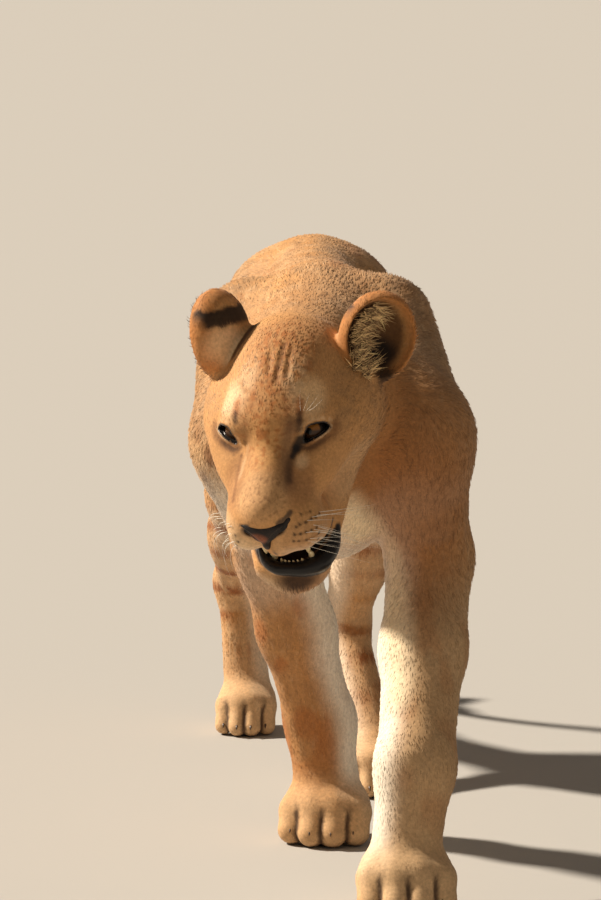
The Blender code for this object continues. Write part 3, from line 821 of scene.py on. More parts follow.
def paint_trunk(paint, points, normals):
    """Tawny, grizzled on the sides, sandy along the spine and cream below."""
    x, y, z = points.T
    lay = paint.lay
    fleck = noise(points, 0.0045, 3)
    sides = step(z, 0.46, 0.70) * step(np.abs(x - 0.02), 0.05, 0.13)
    grey = 0.28 + 0.34 * speckle(points, 0.014, 4, 0.3, 0.8)
    rusty = 0.35 * speckle(points * (1, 1, 0.8), 0.036, 5, 0.62, 0.80)
    lay(GOLD, 0.55 * speckle(points, 0.11, 1, 0.35, 0.75))
    lay(GRIZZLE, sides * grey * step(y, 0.16, 0.30))
    # sandier along the top of her back: partly its colour, partly painted light from above
    lay(SAND, 0.35 * step(z, 0.78, 0.85) * speckle(points, 0.028, 2, 0.3, 0.7))
    lay(RUST, rusty * step(z, 0.40, 0.60) * step(y, 0.35, 0.5))
    lay(BROWN, 0.36 * step(fleck, 0.58, 0.85))
    lay(PALE, 0.30 * fall(fleck, 0.1, 0.38))
    lay(GRIZZLE, 0.30 * speckle(points, 0.010, 24, 0.5, 0.8))
    # blotches behind her right elbow, grizzle on her left shoulder blade
    elbow = patch(points, (-0.12, 0.30, 0.55), (0.06, 0.14, 0.11), 0.5)
    lay(PALE, 0.30 * elbow)
    lay(linear("#7d4b25"), 0.75 * elbow * speckle(points, 0.030, 25, 0.48, 0.62))
    blade = patch(points, (0.22, 0.32, 0.64), (0.12, 0.24, 0.20), 0.6)
    lay(linear("#94785c"), 0.50 * blade * (0.5 + 0.5 * speckle(points, 0.008, 27, 0.3, 0.7)))
    # underside and throat
    under = step(-normals[:, 2], 0.15, 0.75) * fall(z, 0.50, 0.66) * step(z, 0.30, 0.42)
    lay(CREAM, 0.85 * under)
    throat = step(-normals[:, 1], 0.1, 0.6) * fall(z, 0.43, 0.50) * step(z, 0.30, 0.38)
    throat = throat * fall(y, 0.36, 0.46) * fall(np.abs(x - 0.06), 0.04, 0.09)
    lay(CREAM, 0.75 * throat)


print("pale strip down the chest through", len(PALE_AND_LIT_CHEST_STRIP), "points")

# %% Paint the legs and the tail's end
BAR_STEP = 0.048                  # from one bar on a hind leg to the next
CUB_BARS = linear("#945526")


def limb_path(leg, kind):
    """The joint centres from shoulder or hip down to the foot."""
    fore, hind = ("shoulder", "elbow", "wrist", "ball"), ("hip", "knee", "hock", "ball")
    return [leg[name] for name in (fore if kind == "fore" else hind)]


def paint_legs(paint, points, normals):
    """Cream inside, blotched in front, barred behind, painted shade between the toes."""
    x, y, z = points.T
    lay = paint.lay
    inner_share = np.zeros(len(points))
    for legs, kind, amount in ((FORE_LEGS, "fore", 1.0), (HIND_LEGS, "hind", 0.8)):
        for side, towards in (("left", -1), ("right", 1)):
            gap = line_distance(points, limb_path(legs[side], kind))
            near = fall(gap, 0.085, 0.13) * fall(z, 0.44, 0.56)
            looks = towards * normals[:, 0] - 0.25 * np.abs(normals[:, 1])
            inner = step(looks, -0.22, 0.55) * step(z, 0.02, 0.12)
            lay(CREAM, amount * near * inner)
            inner_share = np.maximum(inner_share, near * inner)
    outer = 1 - 0.85 * inner_share
    legs = fall(z, 0.38, 0.50)
    hind, fore = legs * step(y, 0.70, 0.76), legs * (1 - step(y, 0.70, 0.76))
    leading, off_tail = step(x, 0.06, 0.12), fall(y, 1.44, 1.47)
    blotch = speckle(points * (1, 1, 0.75), 0.034, 6, 0.52, 0.70)
    lay(linear("#c4a47c"), 0.70 * fore * leading * outer)
    lay(linear("#a67242"), 0.50 * fore * step(-x, -0.10, -0.05) * outer)
    lay(RUST, (0.62 - 0.36 * leading) * fore * blotch * outer * step(z, 0.07, 0.16))
    uneven = (z + 0.012 * (noise(points, 0.05, 7) - 0.5)) * 2 * math.pi / BAR_STEP
    wave = step(np.sin(uneven + 3 * noise(points, 0.09, 8)), 0.1, 0.9)
    bars = hind * wave * speckle(points, 0.026, 10, 0.12, 0.38) * outer
    bars = bars * step(z, 0.09, 0.18) * off_tail
    lay(SAND, 0.45 * hind * (1 - bars) * off_tail)
    lay(CUB_BARS, 0.90 * bars * speckle(points, 0.050, 9, 0.15, 0.50))
    # paws, with painted shade in the grooves where two toes are equally near
    lay(linear("#e0b98a"), 0.55 * fall(z, 0.05, 0.12))
    for legs, size in ((FORE_LEGS, FORE_PAW), (HIND_LEGS, HIND_PAW)):
        for leg in legs.values():
            found = toes(leg["ball"], leg["heading"], *size)
            gaps = np.sort([line_distance(points, toe[:3]) for toe in found], axis=0)
            ahead = step((points - leg["ball"]) @ found[0][4], 0.004, 0.024)
            ahead = ahead * fall(gaps[0], 0.035, 0.045) * fall(z, 0.050, 0.068)
            lay(UMBER, 0.90 * ahead * step(gaps[0] - gaps[1], -0.0075, -0.0020))
    lay(UMBER, 0.92 * (fall(line_distance(points, TAIL[5:]), 0.04, 0.06) * step(y, 1.585, 1.64)))


print("bars", 1000 * BAR_STEP, "mm apart")

# %% [markdown]
# ## Head
# Her brows, whisker pads and chin are pale, her crown is speckled with rust,
# and dark lines run from the eyes' inner corners down the muzzle. Head marks
# are placed in the head's own frame, and most are mirrored by folding her
# right half over the left. The parts without hair, such as lips and the lids'
# edges, are noted as bare, so that no tufts grow there and they can shine.

# %% Paint crown and brows
TEAR_LINE = [
    (.0465, .0240, .0130), (.0450, .0280, .0085), (.0391, .0348, .0002),
    (.0347, .0459, -.0043), (.0329, .0640, -.0097), (.0350, .0814, -.0157),
]
FAR_TEAR_LINE = [
    (-.0354, .0323, .0107), (-.0413, .0404, -.0056), (-.0452, .0646, -.0202),
    (-.0459, .1011, -.0326),
]
FAR_PALE_LINE = [(-.0320, .0380, .0080), (-.0360, .0520, -.0080), (-.0400, .0700, -.0180)]
# the hollow beside the bridge below each eye, where shade is painted
INNER_HOLLOW_SHADE = [
    (.0350, .0241, .0324), (.0292, .0344, .0147), (.0280, .0497, .0012),
    (.0310, .0695, -.0083), (.0348, .0893, -.0175),
]
CREASE_DEPTHS = (0.80, 0.60, 0.35)


def fold(face):
    """Head points with her right half laid over the left."""
    return np.abs(face * (1, 0, 0)) + face * (0, 1, 1)


def paint_crown(paint, face, near_head):
    """Tawny and gold, rust on the crown, pale brows, dark brow marks."""
    folded = fold(face)
    lay = paint.lay
    cheeks = patch(folded, (0.095, -0.06, -0.03), (0.035, 0.08, 0.06))
    base = mixed(np.tile(TAWNY, (len(face), 1)), GOLD, 0.5 * noise(face, 0.03, 11))
    base = mixed(base, GRIZZLE, 0.30 * speckle(face, 0.012, 12, 0.4, 0.8) * cheeks)
    lay(base, near_head)
    # crown and bridge
    crown = patch(face, (0.006, -0.055, 0.062), (0.050, 0.100, 0.050))
    rusty = 0.86 * speckle(face, 0.0046, 13, 0.46, 0.66) * (0.45 + 0.55 * noise(face, 0.02, 17))
    lay(RUST, crown * (0.14 + rusty))
    lay(BROWN, 0.55 * crown * speckle(face, 0.0032, 18, 0.62, 0.78))
    lay(GOLD, 0.5 * patch(face, (0, 0.030, 0.020), (0.026, 0.060, 0.03)))
    bridge = patch(face, (0.0, 0.020, 0.020), (0.034, 0.070, 0.05), 0.6)
    lay(RUST, 0.70 * speckle(face, 0.0050, 14, 0.55, 0.75) * bridge)
    tip = patch(face, (0, 0.112, -0.018), (0.040, 0.040, 0.030))
    lay(linear("#c79a6b"), 0.7 * tip)
    lay(BROWN, 0.45 * tip * speckle(face, 0.0028, 15, 0.58, 0.80))
    # brows
    lay(PALE, 0.72 * patch(folded, (0.058, -0.018, 0.043), (0.024, 0.030, 0.016), 0.6))
    # painted light: her left brow lies in shade, so it is painted lighter and warmer
    painted_light_brow = patch(face, (0.056, -0.026, 0.046), (0.022, 0.026, 0.020), 0.9)
    lay(linear("#f8c588"), 0.55 * painted_light_brow)
    upper = patch(folded, (0.034, -0.040, 0.064), (0.016, 0.034, 0.020), 0.6)
    lay(PALE, 0.42 * upper * speckle(face, 0.007, 16, 0.2, 0.6))
    lay(RUST, 0.80 * stroke(folded, [(.0450, -.0083, .0475), (.0455, .0069, .0414)], 0.0060, 0.7))
    lay(UMBER, 0.75 * stroke(folded, [(.0458, .0069, .0408), (.0450, .0180, .0345)], 0.0042, 0.7))
    lay(UMBER, 0.80 * stroke(face, [(.0465, .0170, .0340), (.0448, .0263, .0233)], 0.0050, 0.7))
    # painted shade in that hollow, heavier on her left side, away from the lamp
    hollow = stroke(folded, INNER_HOLLOW_SHADE, 0.0105, 0.9)
    lay(linear("#5f4431"), hollow * (0.22 + 0.45 * (face[:, 0] > 0)))
    for path, amount in zip(FOREHEAD_CREASES, CREASE_DEPTHS):
        lay(BROWN, amount * stroke(face, path, 0.0040, 0.8))
        lay(UMBER, amount * stroke(face, path, 0.0017, 0.5))


print("crown marks", len(FOREHEAD_CREASES), "creases")

# %% Paint muzzle and chin
WHISKER_ROWS = [
    [(.0716, .0985, -.0621), (.0689, .1081, -.0596), (.0640, .1152, -.0562),
     (.0575, .1230, -.0552), (.0506, .1279, -.0545), (.0454, .1316, -.0559)],
    [(.0696, .1172, -.0709), (.0641, .1251, -.0683), (.0575, .1309, -.0663),
     (.0503, .1352, -.0660), (.0421, .1373, -.0655)],
    [(.0690, .1150, -.0820), (.0564, .1341, -.0786), (.0465, .1387, -.0767),
     (.0394, .1398, -.0755)],
    [(.0640, .1150, -.0930), (.0540, .1270, -.0890), (.0450, .1330, -.0870)],
    [(.0624, .1066, -.0499), (.0521, .1172, -.0458)],
]
WHISKER_SPOT = (0.0028,) * 3


def paint_muzzle(paint, face, near_head):
    """Her left pad browner as painted shade, pale below, a dark chin, rows of whisker spots."""
    x, y, z = face.T
    folded = fold(face)
    lay = paint.lay
    lay(linear("#9a6a41"), 0.55 * patch(folded, (0.046, 0.070, -0.030), (0.018, 0.045, 0.026)))
    pads = np.maximum(patch(face, (0.042, 0.112, -0.084), (0.036, 0.040, 0.030)),
                      patch(face, (-0.038, 0.110, -0.080), (0.034, 0.040, 0.030)))
    # painted shade: her left pad, away from the lamp, is browner and less cream
    left = step(x, 0.0, 0.03)
    lay(PALE, pads * (0.75 - 0.50 * left))
    lay(linear("#9c6a3c"), 0.45 * pads * left)
    lay(CREAM, 0.55 * pads * step(-z, 0.080, 0.105) * (1 - 0.5 * (x > 0.01)))
    lay(linear("#b98a5c"), 0.45 * pads * step(z, -0.075, -0.058))
    lay(SAND, 0.80 * patch(face, (0.012, 0.070, -0.178), (0.062, 0.085, 0.034)))
    chin = patch(face, (0.034, 0.100, -0.175), (0.036, 0.050, 0.030), 0.6)
    lay(linear("#a8713f"), 0.75 * chin)
    throat = step(-z, 0.110, 0.150) * near_head * step(-y, -0.10, -0.04)
    lay(CREAM, 0.60 * throat * step(-x, -0.060, -0.025))
    lay(SAND, 0.5 * patch(folded, (0.085, -0.02, -0.085), (0.040, 0.060, 0.040)))
    lay(UMBER, 0.92 * patch(face, (0.026, 0.126, -0.162), (0.029, 0.024, 0.0165), 0.6))
    for row in WHISKER_ROWS:
        lay(BROWN, 0.45 * stroke(folded, row, 0.0018, 0.8))
        for spot in row:
            lay(SOOT, 0.9 * patch(folded, spot, WHISKER_SPOT, 0.45))


print("whisker spots", sum(len(row) for row in WHISKER_ROWS), "on each side")

# %% Paint round the eyes
CORNER_SPOTS = ((-0.0150, 0.0110, 0.0030), (-0.0195, 0.0100, 0.0005))
CORNER_TEAR = [(0.0190, 0.010, -0.0068), (0.0215, 0.006, -0.0120), (0.0202, 0.006, -0.0190)]
CORNER_TAIL = [(0.0190, 0.010, -0.0068), (0.0255, 0.003, -0.0075)]


def inner_corner(side):
    """Two points at the eye's inner corner, in the head's frame."""
    centre, axes = eye_place(side), eye_axes(side)
    return [in_head(centre + axes @ np.array(spot)) for spot in CORNER_SPOTS]


def paint_eyes(paint, points, face):
    """Black lids in a pale ring, a shadow below, and the lines of her tears."""
    lay = paint.lay
    outline = smooth_path(LIDS, 4, closed=True)
    for side in (1, -1):
        local = (points - eye_place(side)) @ eye_axes(side)
        along, out, up = local.T
        gap = outline_distance(along, up, outline)
        here = fall(np.linalg.norm(local, axis=1), 0.034, 0.050) * step(out, -0.004, 0.004)
        below = step(-up - 0.15 * along, -0.004, 0.006)
        ring = 0.48 * here * step(gap, 0.0016, 0.0026) * fall(gap, 0.0034, 0.0050)
        upper = 0.40 * here * step(gap, 0.0045, 0.0058) * fall(gap, 0.0080, 0.0110)
        lower = 0.65 * here * step(gap, 0.0050, 0.0065) * fall(gap, 0.0090, 0.0150)
        lay(BROWN, 0.60 * here * fall(gap, 0.0090, 0.0220) * below)
        lay(PALE, ring * below * step(along, -0.012, -0.003))
        lay(PALE, upper * (1 - below) * speckle(points, 0.004, 26, 0.2, 0.6))
        lay(UMBER, lower * below * step(-along, -0.014, 0.004))
        edge = np.maximum(fall(gap, 0.0012, 0.0024), (1 - below) * fall(gap, 0.0026, 0.0040))
        lay(SOOT, here * edge, here * edge)
        lay(UMBER, 0.8 * stroke(local, CORNER_TEAR, 0.0022))
        lay(UMBER, 0.7 * stroke(local, CORNER_TAIL, 0.0018))
    # a painted highlight on the skin below her left eye
    lay(PALE, 0.45 * patch(face, (0.0460, 0.0480, -0.0117), (0.009, 0.011, 0.009), 0.6))
    lay(UMBER, 0.70 * stroke(face, TEAR_LINE[2:], 0.0060, 0.8))
    for line, width in ((inner_corner(1) + TEAR_LINE[1:3], 0.0078), (TEAR_LINE[2:4], 0.0046),
                        (inner_corner(-1), 0.0036)):
        lay(SOOT, 0.95 * stroke(face, line, width, 0.5))
    lay(PALE, 0.32 * stroke(face, FAR_PALE_LINE, 0.0040, 0.7))
    lay(SOOT, 0.85 * stroke(face, FAR_TEAR_LINE[:2], 0.0030, 0.5))
    lay(BROWN, 0.65 * stroke(face, FAR_TEAR_LINE[1:], 0.0034, 0.7))


print("lids drawn through", len(LIDS), "points")

# %% Paint lips and nose
UPPER_LIP = [
    (-0.030, .103, -.113), (-0.012, .122, -.116), (0.012, .133, -.118), (.034, .126, -.123),
    (.054, .104, -.127), (.068, .078, -.124), (.072, .050, -.118),
]
PHILTRUM = [(0.001, .150, -.060), (0.006, .148, -.082), (0.012, .142, -.104)]
LEFT_WING = [(.0239, .1368, -.0440), (.0330, .1297, -.0425), (.0395, .1207, -.0381)]
RIGHT_WING = [(-.0200, .1400, -.0455), (-.0325, .1350, -.0484)]


def paint_mouth(paint, face):
    """Bare black lips and nose, and the dark inside of the mouth, deepened as painted shade."""
    lay = paint.lay
    lips = np.zeros(len(face))
    lip = smooth_path(LOWER_LIP, 3)
    for a, b in zip(lip, lip[1:]):
        reach = line_distance(face, [a, b]) / (a[3] + b[3]) * 2
        lips = np.maximum(lips, fall(reach, 1.22, 1.45))
    tilt = np.array(Matrix.Rotation(MOUTH_TILT, 3, "X"))
    gap = patch(face, MOUTH, (0.0670, 0.0670, 0.0165), 0.10, tilt)
    upper = np.maximum(stroke(face, UPPER_LIP, 0.0036), stroke(face, PHILTRUM, 0.0036))
    dark = np.maximum(lips, upper)
    lay(SOOT, dark, dark)
    # the inside of the mouth: its own dark colour, deepened as painted shade
    lay(MOUTH_SHADE, gap * (1 - lips), gap)
    nose = patch(face, (0, 0.134, -0.0570), (0.0310, 0.0140, 0.0130), 0.12)
    nose = np.maximum(nose, stroke(face, LEFT_WING, 0.0042, 0.4))
    nose = np.maximum(nose, stroke(face, RIGHT_WING, 0.0026, 0.4))
    lay(SOOT, 0.8 * nose, nose)


def paint_head(paint, points):
    """All marks of the head, in the order in which they cover each other."""
    face = in_head(points)
    reach = np.linalg.norm((face - HEAD_MIDDLE) / (1, 1.1, 1), axis=1)
    near_head = fall(reach, 0.16, 0.21)
    paint_crown(paint, face, near_head)
    paint_muzzle(paint, face, near_head)
    paint_eyes(paint, points, face)
    paint_mouth(paint, face)


print("lips drawn through", len(UPPER_LIP) + len(LOWER_LIP), "points")

# %% [markdown]
# ## Ears, and all marks together
# A lion's ear is sandy behind with a black band across it, which cubs follow,
# and its hollow is painted dark as shade. The band is drawn in the ear's own
# directions. Then one function paints a set of points from head to tail.

# %% Paint the ears
EAR_RUST, EAR_HOLLOW_SHADE = linear("#b46c2e"), linear("#553518")


def ear_local(points, side):
    """Points in an ear's side, facing and upright directions, from its middle."""
    base, facing, upward = EARS[side]
    return (points - np.array(base)) @ frame_from(facing, upward)


def ear_reach(local):
    """1 on an ellipsoid that just holds the ear, less inside it."""
    return np.linalg.norm(local / (0.062, 0.050, 0.070), axis=1)


def paint_ears(paint, points, normals):
    """A rusty rim, a black band behind, and a hollow painted dark as shade."""
    lay = paint.lay
    for side, sign in (("left", 1), ("right", -1)):
        local = ear_local(points, side)
        across, facing, upright = local.T
        out = normals @ frame_from(*EARS[side][1:])
        here = fall(ear_reach(local), 0.98, 1.07) * step(upright, -0.052, -0.038)
        behind = step((out * unit(local / EAR_SIZE**2)).sum(1), 0.0, 0.4)
        from_middle = np.hypot(across / EAR_SIZE[0], upright / EAR_SIZE[2])
        lay(GOLD, 0.6 * here)
        rim = 0.80 * here * step(from_middle, 0.66, 0.88)
        lay(EAR_RUST, rim * (0.6 + 0.4 * noise(points, 0.006, 21)))
        low = patch(local * (-sign, 1, 1), (0.026, -0.032, -0.014), (0.030, 0.034, 0.028), 0.6)
        lay(PALE, 0.85 * behind * here * low)
        height = np.abs(upright - 0.025 + 0.006 * (noise(points, 0.012, 22) - 0.5))
        band = behind * here * fall(height, 0.0100, 0.0155)
        band = band * fall(np.abs(across), 0.046, 0.056) * step(-facing, -0.012, 0.0)
        lay(SOOT, 0.94 * band)
        # painted shade: the hollow is darkened, most deeply low inside it
        inside = here * (1 - behind) * fall(from_middle, 0.62, 0.80)
        deep = patch(local, (sign * 0.012, 0, -0.026), (0.028, 0.050, 0.028))
        lay(EAR_HOLLOW_SHADE, 0.9 * inside)
        lay(SOOT, 0.95 * inside * deep)
        lay(SOOT, 0.92 * patch(local, (sign * 0.018, 0.020, -0.046), (0.014, 0.034, 0.022), 0.5))


def markings(points, normals):
    """Linear colours and bareness of the points, given in the walking frame."""
    paint = Paint(len(points))
    paint_trunk(paint, points, normals)
    paint_legs(paint, points, normals)
    paint_head(paint, points)
    paint_ears(paint, points, normals)
    # her left neck, away from the lamp, painted darker and redder: partly its colour, partly
    # painted shade
    neck = patch(points, (0.15, 0.19, 0.56), (0.10, 0.12, 0.15), 0.6)
    paint.lay(linear("#9a6232"), 0.80 * (neck * step(points[:, 1], 0.09, 0.14)))
    # the chest strip: pale fur, and painted light
    paint.lay(linear("#f8dfb8"), 0.90 * stroke(points, PALE_AND_LIT_CHEST_STRIP, 0.024, 0.7))
    soles = step(-normals[:, 2], 0.75, 0.95) * fall(points[:, 2], 0.004, 0.010)
    paint.lay(UMBER, 0.8 * soles, soles)
    return np.clip(paint.colours, 0.002, 1), paint.bare


print("one call paints head, trunk, legs, ears and tail")

# %% [markdown]
# ## From arrays to the mesh
# The markings are worked out at every corner point of the skin. They could be
# baked to an image at once; kept as attributes they stay sharp where the mesh
# is fine, and the material reads them by name.

# %% Paint the skin


def mesh_array(collection, key, width=3):
    """One property of every item of a mesh, as rows of an array."""
    flat = np.empty(len(collection) * width, np.float32)
    collection.foreach_get(key, flat)
    return flat.reshape(-1, width)


def add_colours(mesh, name, colours):
    """A colour at each corner point of the mesh, kept as an attribute."""
    layer = mesh.color_attributes.new(name, "FLOAT_COLOR", "POINT")
    opaque = np.hstack((colours, np.ones((len(colours), 1))))
    layer.data.foreach_set("color", opaque.astype(np.float32).ravel())


def add_amount(mesh, name, amount):
    """A single number at each corner point of the mesh, kept as an attribute."""
    layer = mesh.attributes.new(name, "FLOAT", "POINT")
    layer.data.foreach_set("value", amount.astype(np.float32))


skin_points = mesh_array(skin_mesh.vertices, "co").astype(float)
skin_normals = mesh_array(skin_mesh.vertex_normals, "vector").astype(float)
skin_colours, skin_bare = markings(skin_points, skin_normals)
print("painted", len(skin_points), "points, bare share", float(skin_bare.mean().round(3)))

# %% [markdown]
# ## Materials
# Hair is keratin: a low, broad gloss, no metal. The colours come from the
# painted attribute; noise adds what is finer than the paint, at hair scale. A
# material is a tree of nodes, and one small helper adds each node to it.

# %% Material helpers


def add_node(tree, kind, inputs=(), **settings):
    """Adds a node: settings are its own, inputs are (socket, value or other socket)."""
    made = tree.nodes.new(kind)
    for key, value in settings.items():
        setattr(made, key, value)
    for key, value in dict(inputs).items():
        socket = made.inputs[key]
        if isinstance(value, bpy.types.NodeSocket):
            tree.links.new(value, socket)
        else:
            socket.default_value = value
    return made


def new_material(name, roughness):
    """A material with its Principled shader, evenly rough, joined to the output."""
    material = bpy.data.materials.new(name)
    material.use_nodes = True
    shader = material.node_tree.nodes["Principled BSDF"]
    shader.inputs["Roughness"].default_value = roughness
    return material, material.node_tree, shader


def painted(tree, shader, factor=None):
    """Joins the painted colours to the shader, each multiplied by a factor."""
    paint = add_node(tree, "ShaderNodeAttribute", attribute_name="tint").outputs["Color"]
    if factor:
        paint = add_node(tree, "ShaderNodeVectorMath", {0: paint, 1: factor},
                         operation="MULTIPLY").outputs["Vector"]
    tree.links.new(paint, shader.inputs["Base Color"])


def two_tone(name, dark, light, grain_mm, roughness):
    """Two colours mixed by noise whose grains are grain_mm across."""
    material, tree, shader = new_material(name, roughness)
    spots = add_node(tree, "ShaderNodeTexCoord").outputs["Object"]
    grain = add_node(tree, "ShaderNodeTexNoise", {"Vector": spots, "Scale": 1000 / grain_mm})
    blend = add_node(tree, "ShaderNodeMix", {
        0: grain.outputs["Fac"], 6: (*linear(dark), 1), 7: (*linear(light), 1),
    }, data_type="RGBA")
    tree.links.new(blend.outputs[2], shader.inputs["Base Color"])
    return material


print("material helpers ready")

# %% The two finishes of hair
WET_ROUGHNESS = 0.30              # of bare lips and lid edges


def hair_material(name, roughness, fleck_mm, bump_mm, sheen):
    """Painted hair, darkened and lightened by noise about fleck_mm across, with a
    bump of the same grain; sheen is the light that hair tips catch."""
    material, tree, shader = new_material(name, roughness)
    spots = add_node(tree, "ShaderNodeTexCoord").outputs["Object"]
    grain = add_node(tree, "ShaderNodeTexNoise", {
        "Vector": spots, "Scale": 1000 / fleck_mm / 2, "Detail": 3.0, "Roughness": 0.6,
    }).outputs["Fac"]
    shade = add_node(tree, "ShaderNodeMapRange", {
        "Value": grain, "From Min": 0.3, "From Max": 0.7, "To Min": 0.82, "To Max": 1.16,
    })
    painted(tree, shader, shade.outputs["Result"])
    bump = add_node(tree, "ShaderNodeBump", {
        "Height": grain, "Strength": 0.5, "Distance": bump_mm / 1000,
    })
    tree.links.new(bump.outputs["Normal"], shader.inputs["Normal"])
    shader.inputs["Specular IOR Level"].default_value = 0.30
    shader.inputs["Sheen Weight"].default_value = sheen
    shader.inputs["Sheen Roughness"].default_value = 0.5
    return material, tree, shader


# single hairs are finer than these flecks, which are as coarse as shows
TUFT_LOOK = hair_material("tawny hair", 0.62, 3.0, 0.2, 0.08)[0]
SKIN_LOOK, tree, shader = hair_material("short hair over skin", 0.78, 2.2, 0.5, 0.05)
bare = add_node(tree, "ShaderNodeAttribute", attribute_name="bare")
rough = add_node(tree, "ShaderNodeMapRange", {
    "Value": bare.outputs["Fac"], "To Min": 0.78, "To Max": WET_ROUGHNESS,
})
tree.links.new(rough.outputs["Result"], shader.inputs["Roughness"])
print("hair in", TUFT_LOOK.name, "and", SKIN_LOOK.name)

# %% Dress the skin
skin_mesh.vertices.foreach_set("co", (skin_points - ORIGIN).astype(np.float32).ravel())
skin_mesh.name = "skin"
add_colours(skin_mesh, "tint", skin_colours)
add_amount(skin_mesh, "bare", skin_bare)
skin_mesh.polygons.foreach_set("use_smooth", np.ones(len(skin_mesh.polygons), bool))
skin_mesh.materials.append(SKIN_LOOK)
skin = place("skin", skin_mesh)
FLESH = [name for name in frame["nodes"] if name not in ("eye_left", "eye_right", "nose")]
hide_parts(*FLESH)
print("skin stands for", len(FLESH), "nodes")

# %% [markdown]
# ## Eyes
# A lion's eye is a ball with a clear bulge over a round pupil and a brown
# iris that fills the opening. The ball is a surface of revolution about the
# line of sight; its radius swells by a bell curve where the cornea is.

# %% A closed ball


def revolved(rings, segments, radius_at):
    """A closed ball: angle from the pole down, angle round, radius from the first."""
    down = np.linspace(0, math.pi, rings + 1)[1:-1]
    around = np.arange(segments) / segments * 2 * math.pi
    d, r = np.meshgrid(down, around, indexing="ij")
    ways = np.stack((np.sin(d) * np.cos(r), np.sin(d) * np.sin(r), np.cos(d)), axis=-1)
    ways = np.vstack((ways.reshape(-1, 3), (0, 0, 1), (0, 0, -1)))
    angles = np.concatenate((d.ravel(), (0, math.pi)))
    turns = np.concatenate((r.ravel(), (0, 0)))
    i, j = np.meshgrid(np.arange(rings - 2), np.arange(segments), indexing="ij")
    i, j, k = (v.ravel() * n for v, n in ((i, segments), (j, 1), ((j + 1) % segments, 1)))
    low = i + segments
    j0, k0 = np.arange(segments), (np.arange(segments) + 1) % segments
    top, bottom = (np.full(segments, len(ways) - n) for n in (2, 1))
    last = (rings - 2) * segments
    tris = np.concatenate([np.stack(three, axis=1) for three in (
        (i + j, low + j, low + k), (i + j, low + k, i + k),
        (top, j0, k0), (bottom, last + k0, last + j0),
    )])
    return ways * radius_at(angles)[:, None], tris, angles, turns


print("a small ball has", len(revolved(4, 6, np.ones_like)[1]), "triangles")

# %% Eyeballs
GAZE = np.array((-0.330, -0.942, -0.020))
PUPIL_ANGLE, IRIS_ANGLE = 0.25, 0.92      # radians from the line of sight
CORNEA_BULGE, CORNEA_ANGLE = 0.0011, 0.50
FIBRES = 46


def eyeball(side):
    """The ball turned to the line of sight, painted by its angle from there."""
    points, faces, angle, turn = revolved(
        48, 72, lambda a: EYE_RADIUS + CORNEA_BULGE * np.exp(-(a / CORNEA_ANGLE) ** 2))
    ahead = GAZE / np.linalg.norm(GAZE)
    right = np.cross((0, 0, 1), ahead)
    right /= np.linalg.norm(right)
    up = np.cross(ahead, right)
    points = points @ np.array((right, up, ahead))
    height = (points @ up) / EYE_RADIUS
    fibres = 0.5 + 0.5 * np.sin(turn * FIBRES + 3 * np.sin(turn * 7))
    brown = np.tile(linear("#9a6426"), (len(points), 1))
    brown = mixed(brown, linear("#5b3413"), 0.5 * fibres * step(angle, 0.2, 0.6))
    # the iris is painted lighter above and darker below, as light and shade in the eye
    brown = mixed(brown, linear("#2a170a"), 0.90 * fall(height, -0.06, 0.26))
    colours = np.tile(linear("#1c120c"), (len(points), 1))
    iris = fall(angle, IRIS_ANGLE - 0.03, IRIS_ANGLE + 0.03)
    colours = colours + (brown - colours) * iris[:, None]
    colours = mixed(colours, linear("#120a06"), step(angle, IRIS_ANGLE - 0.09, IRIS_ANGLE) * iris)
    pupil = fall(angle, PUPIL_ANGLE - 0.02, PUPIL_ANGLE + 0.02)
    return points + eye_place(side) - ORIGIN, faces, mixed(colours, linear("#040303"), pupil)


# the tear film is a thin clear coat that gives a small sharp highlight
EYE_LOOK, tree, shader = new_material("wet eye", 0.50)
painted(tree, shader)
shader.inputs["Specular IOR Level"].default_value = 0.2
shader.inputs["Coat Weight"].default_value = 0.35
shader.inputs["Coat Roughness"].default_value = 0.05
for name, node, side in (("eyeball_left", "eye_left", 1), ("eyeball_right", "eye_right", -1)):
    ball_points, faces, colours = eyeball(side)
    mesh = mesh_from(name, ball_points, faces)
    add_colours(mesh, "tint", colours)
    mesh.materials.append(EYE_LOOK)
    ball = place(name, mesh)
    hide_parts(node)
    print(name, len(faces), "triangles")

# %% [markdown]
# ## Tubes
# Lid rims, teeth, claws and whiskers are tapered tubes: a small ring carried
# along a path, closed at both ends. A curve with a bevel would do for one;
# one function makes many tubes at once, as whole arrays.

# %% Tubes along paths


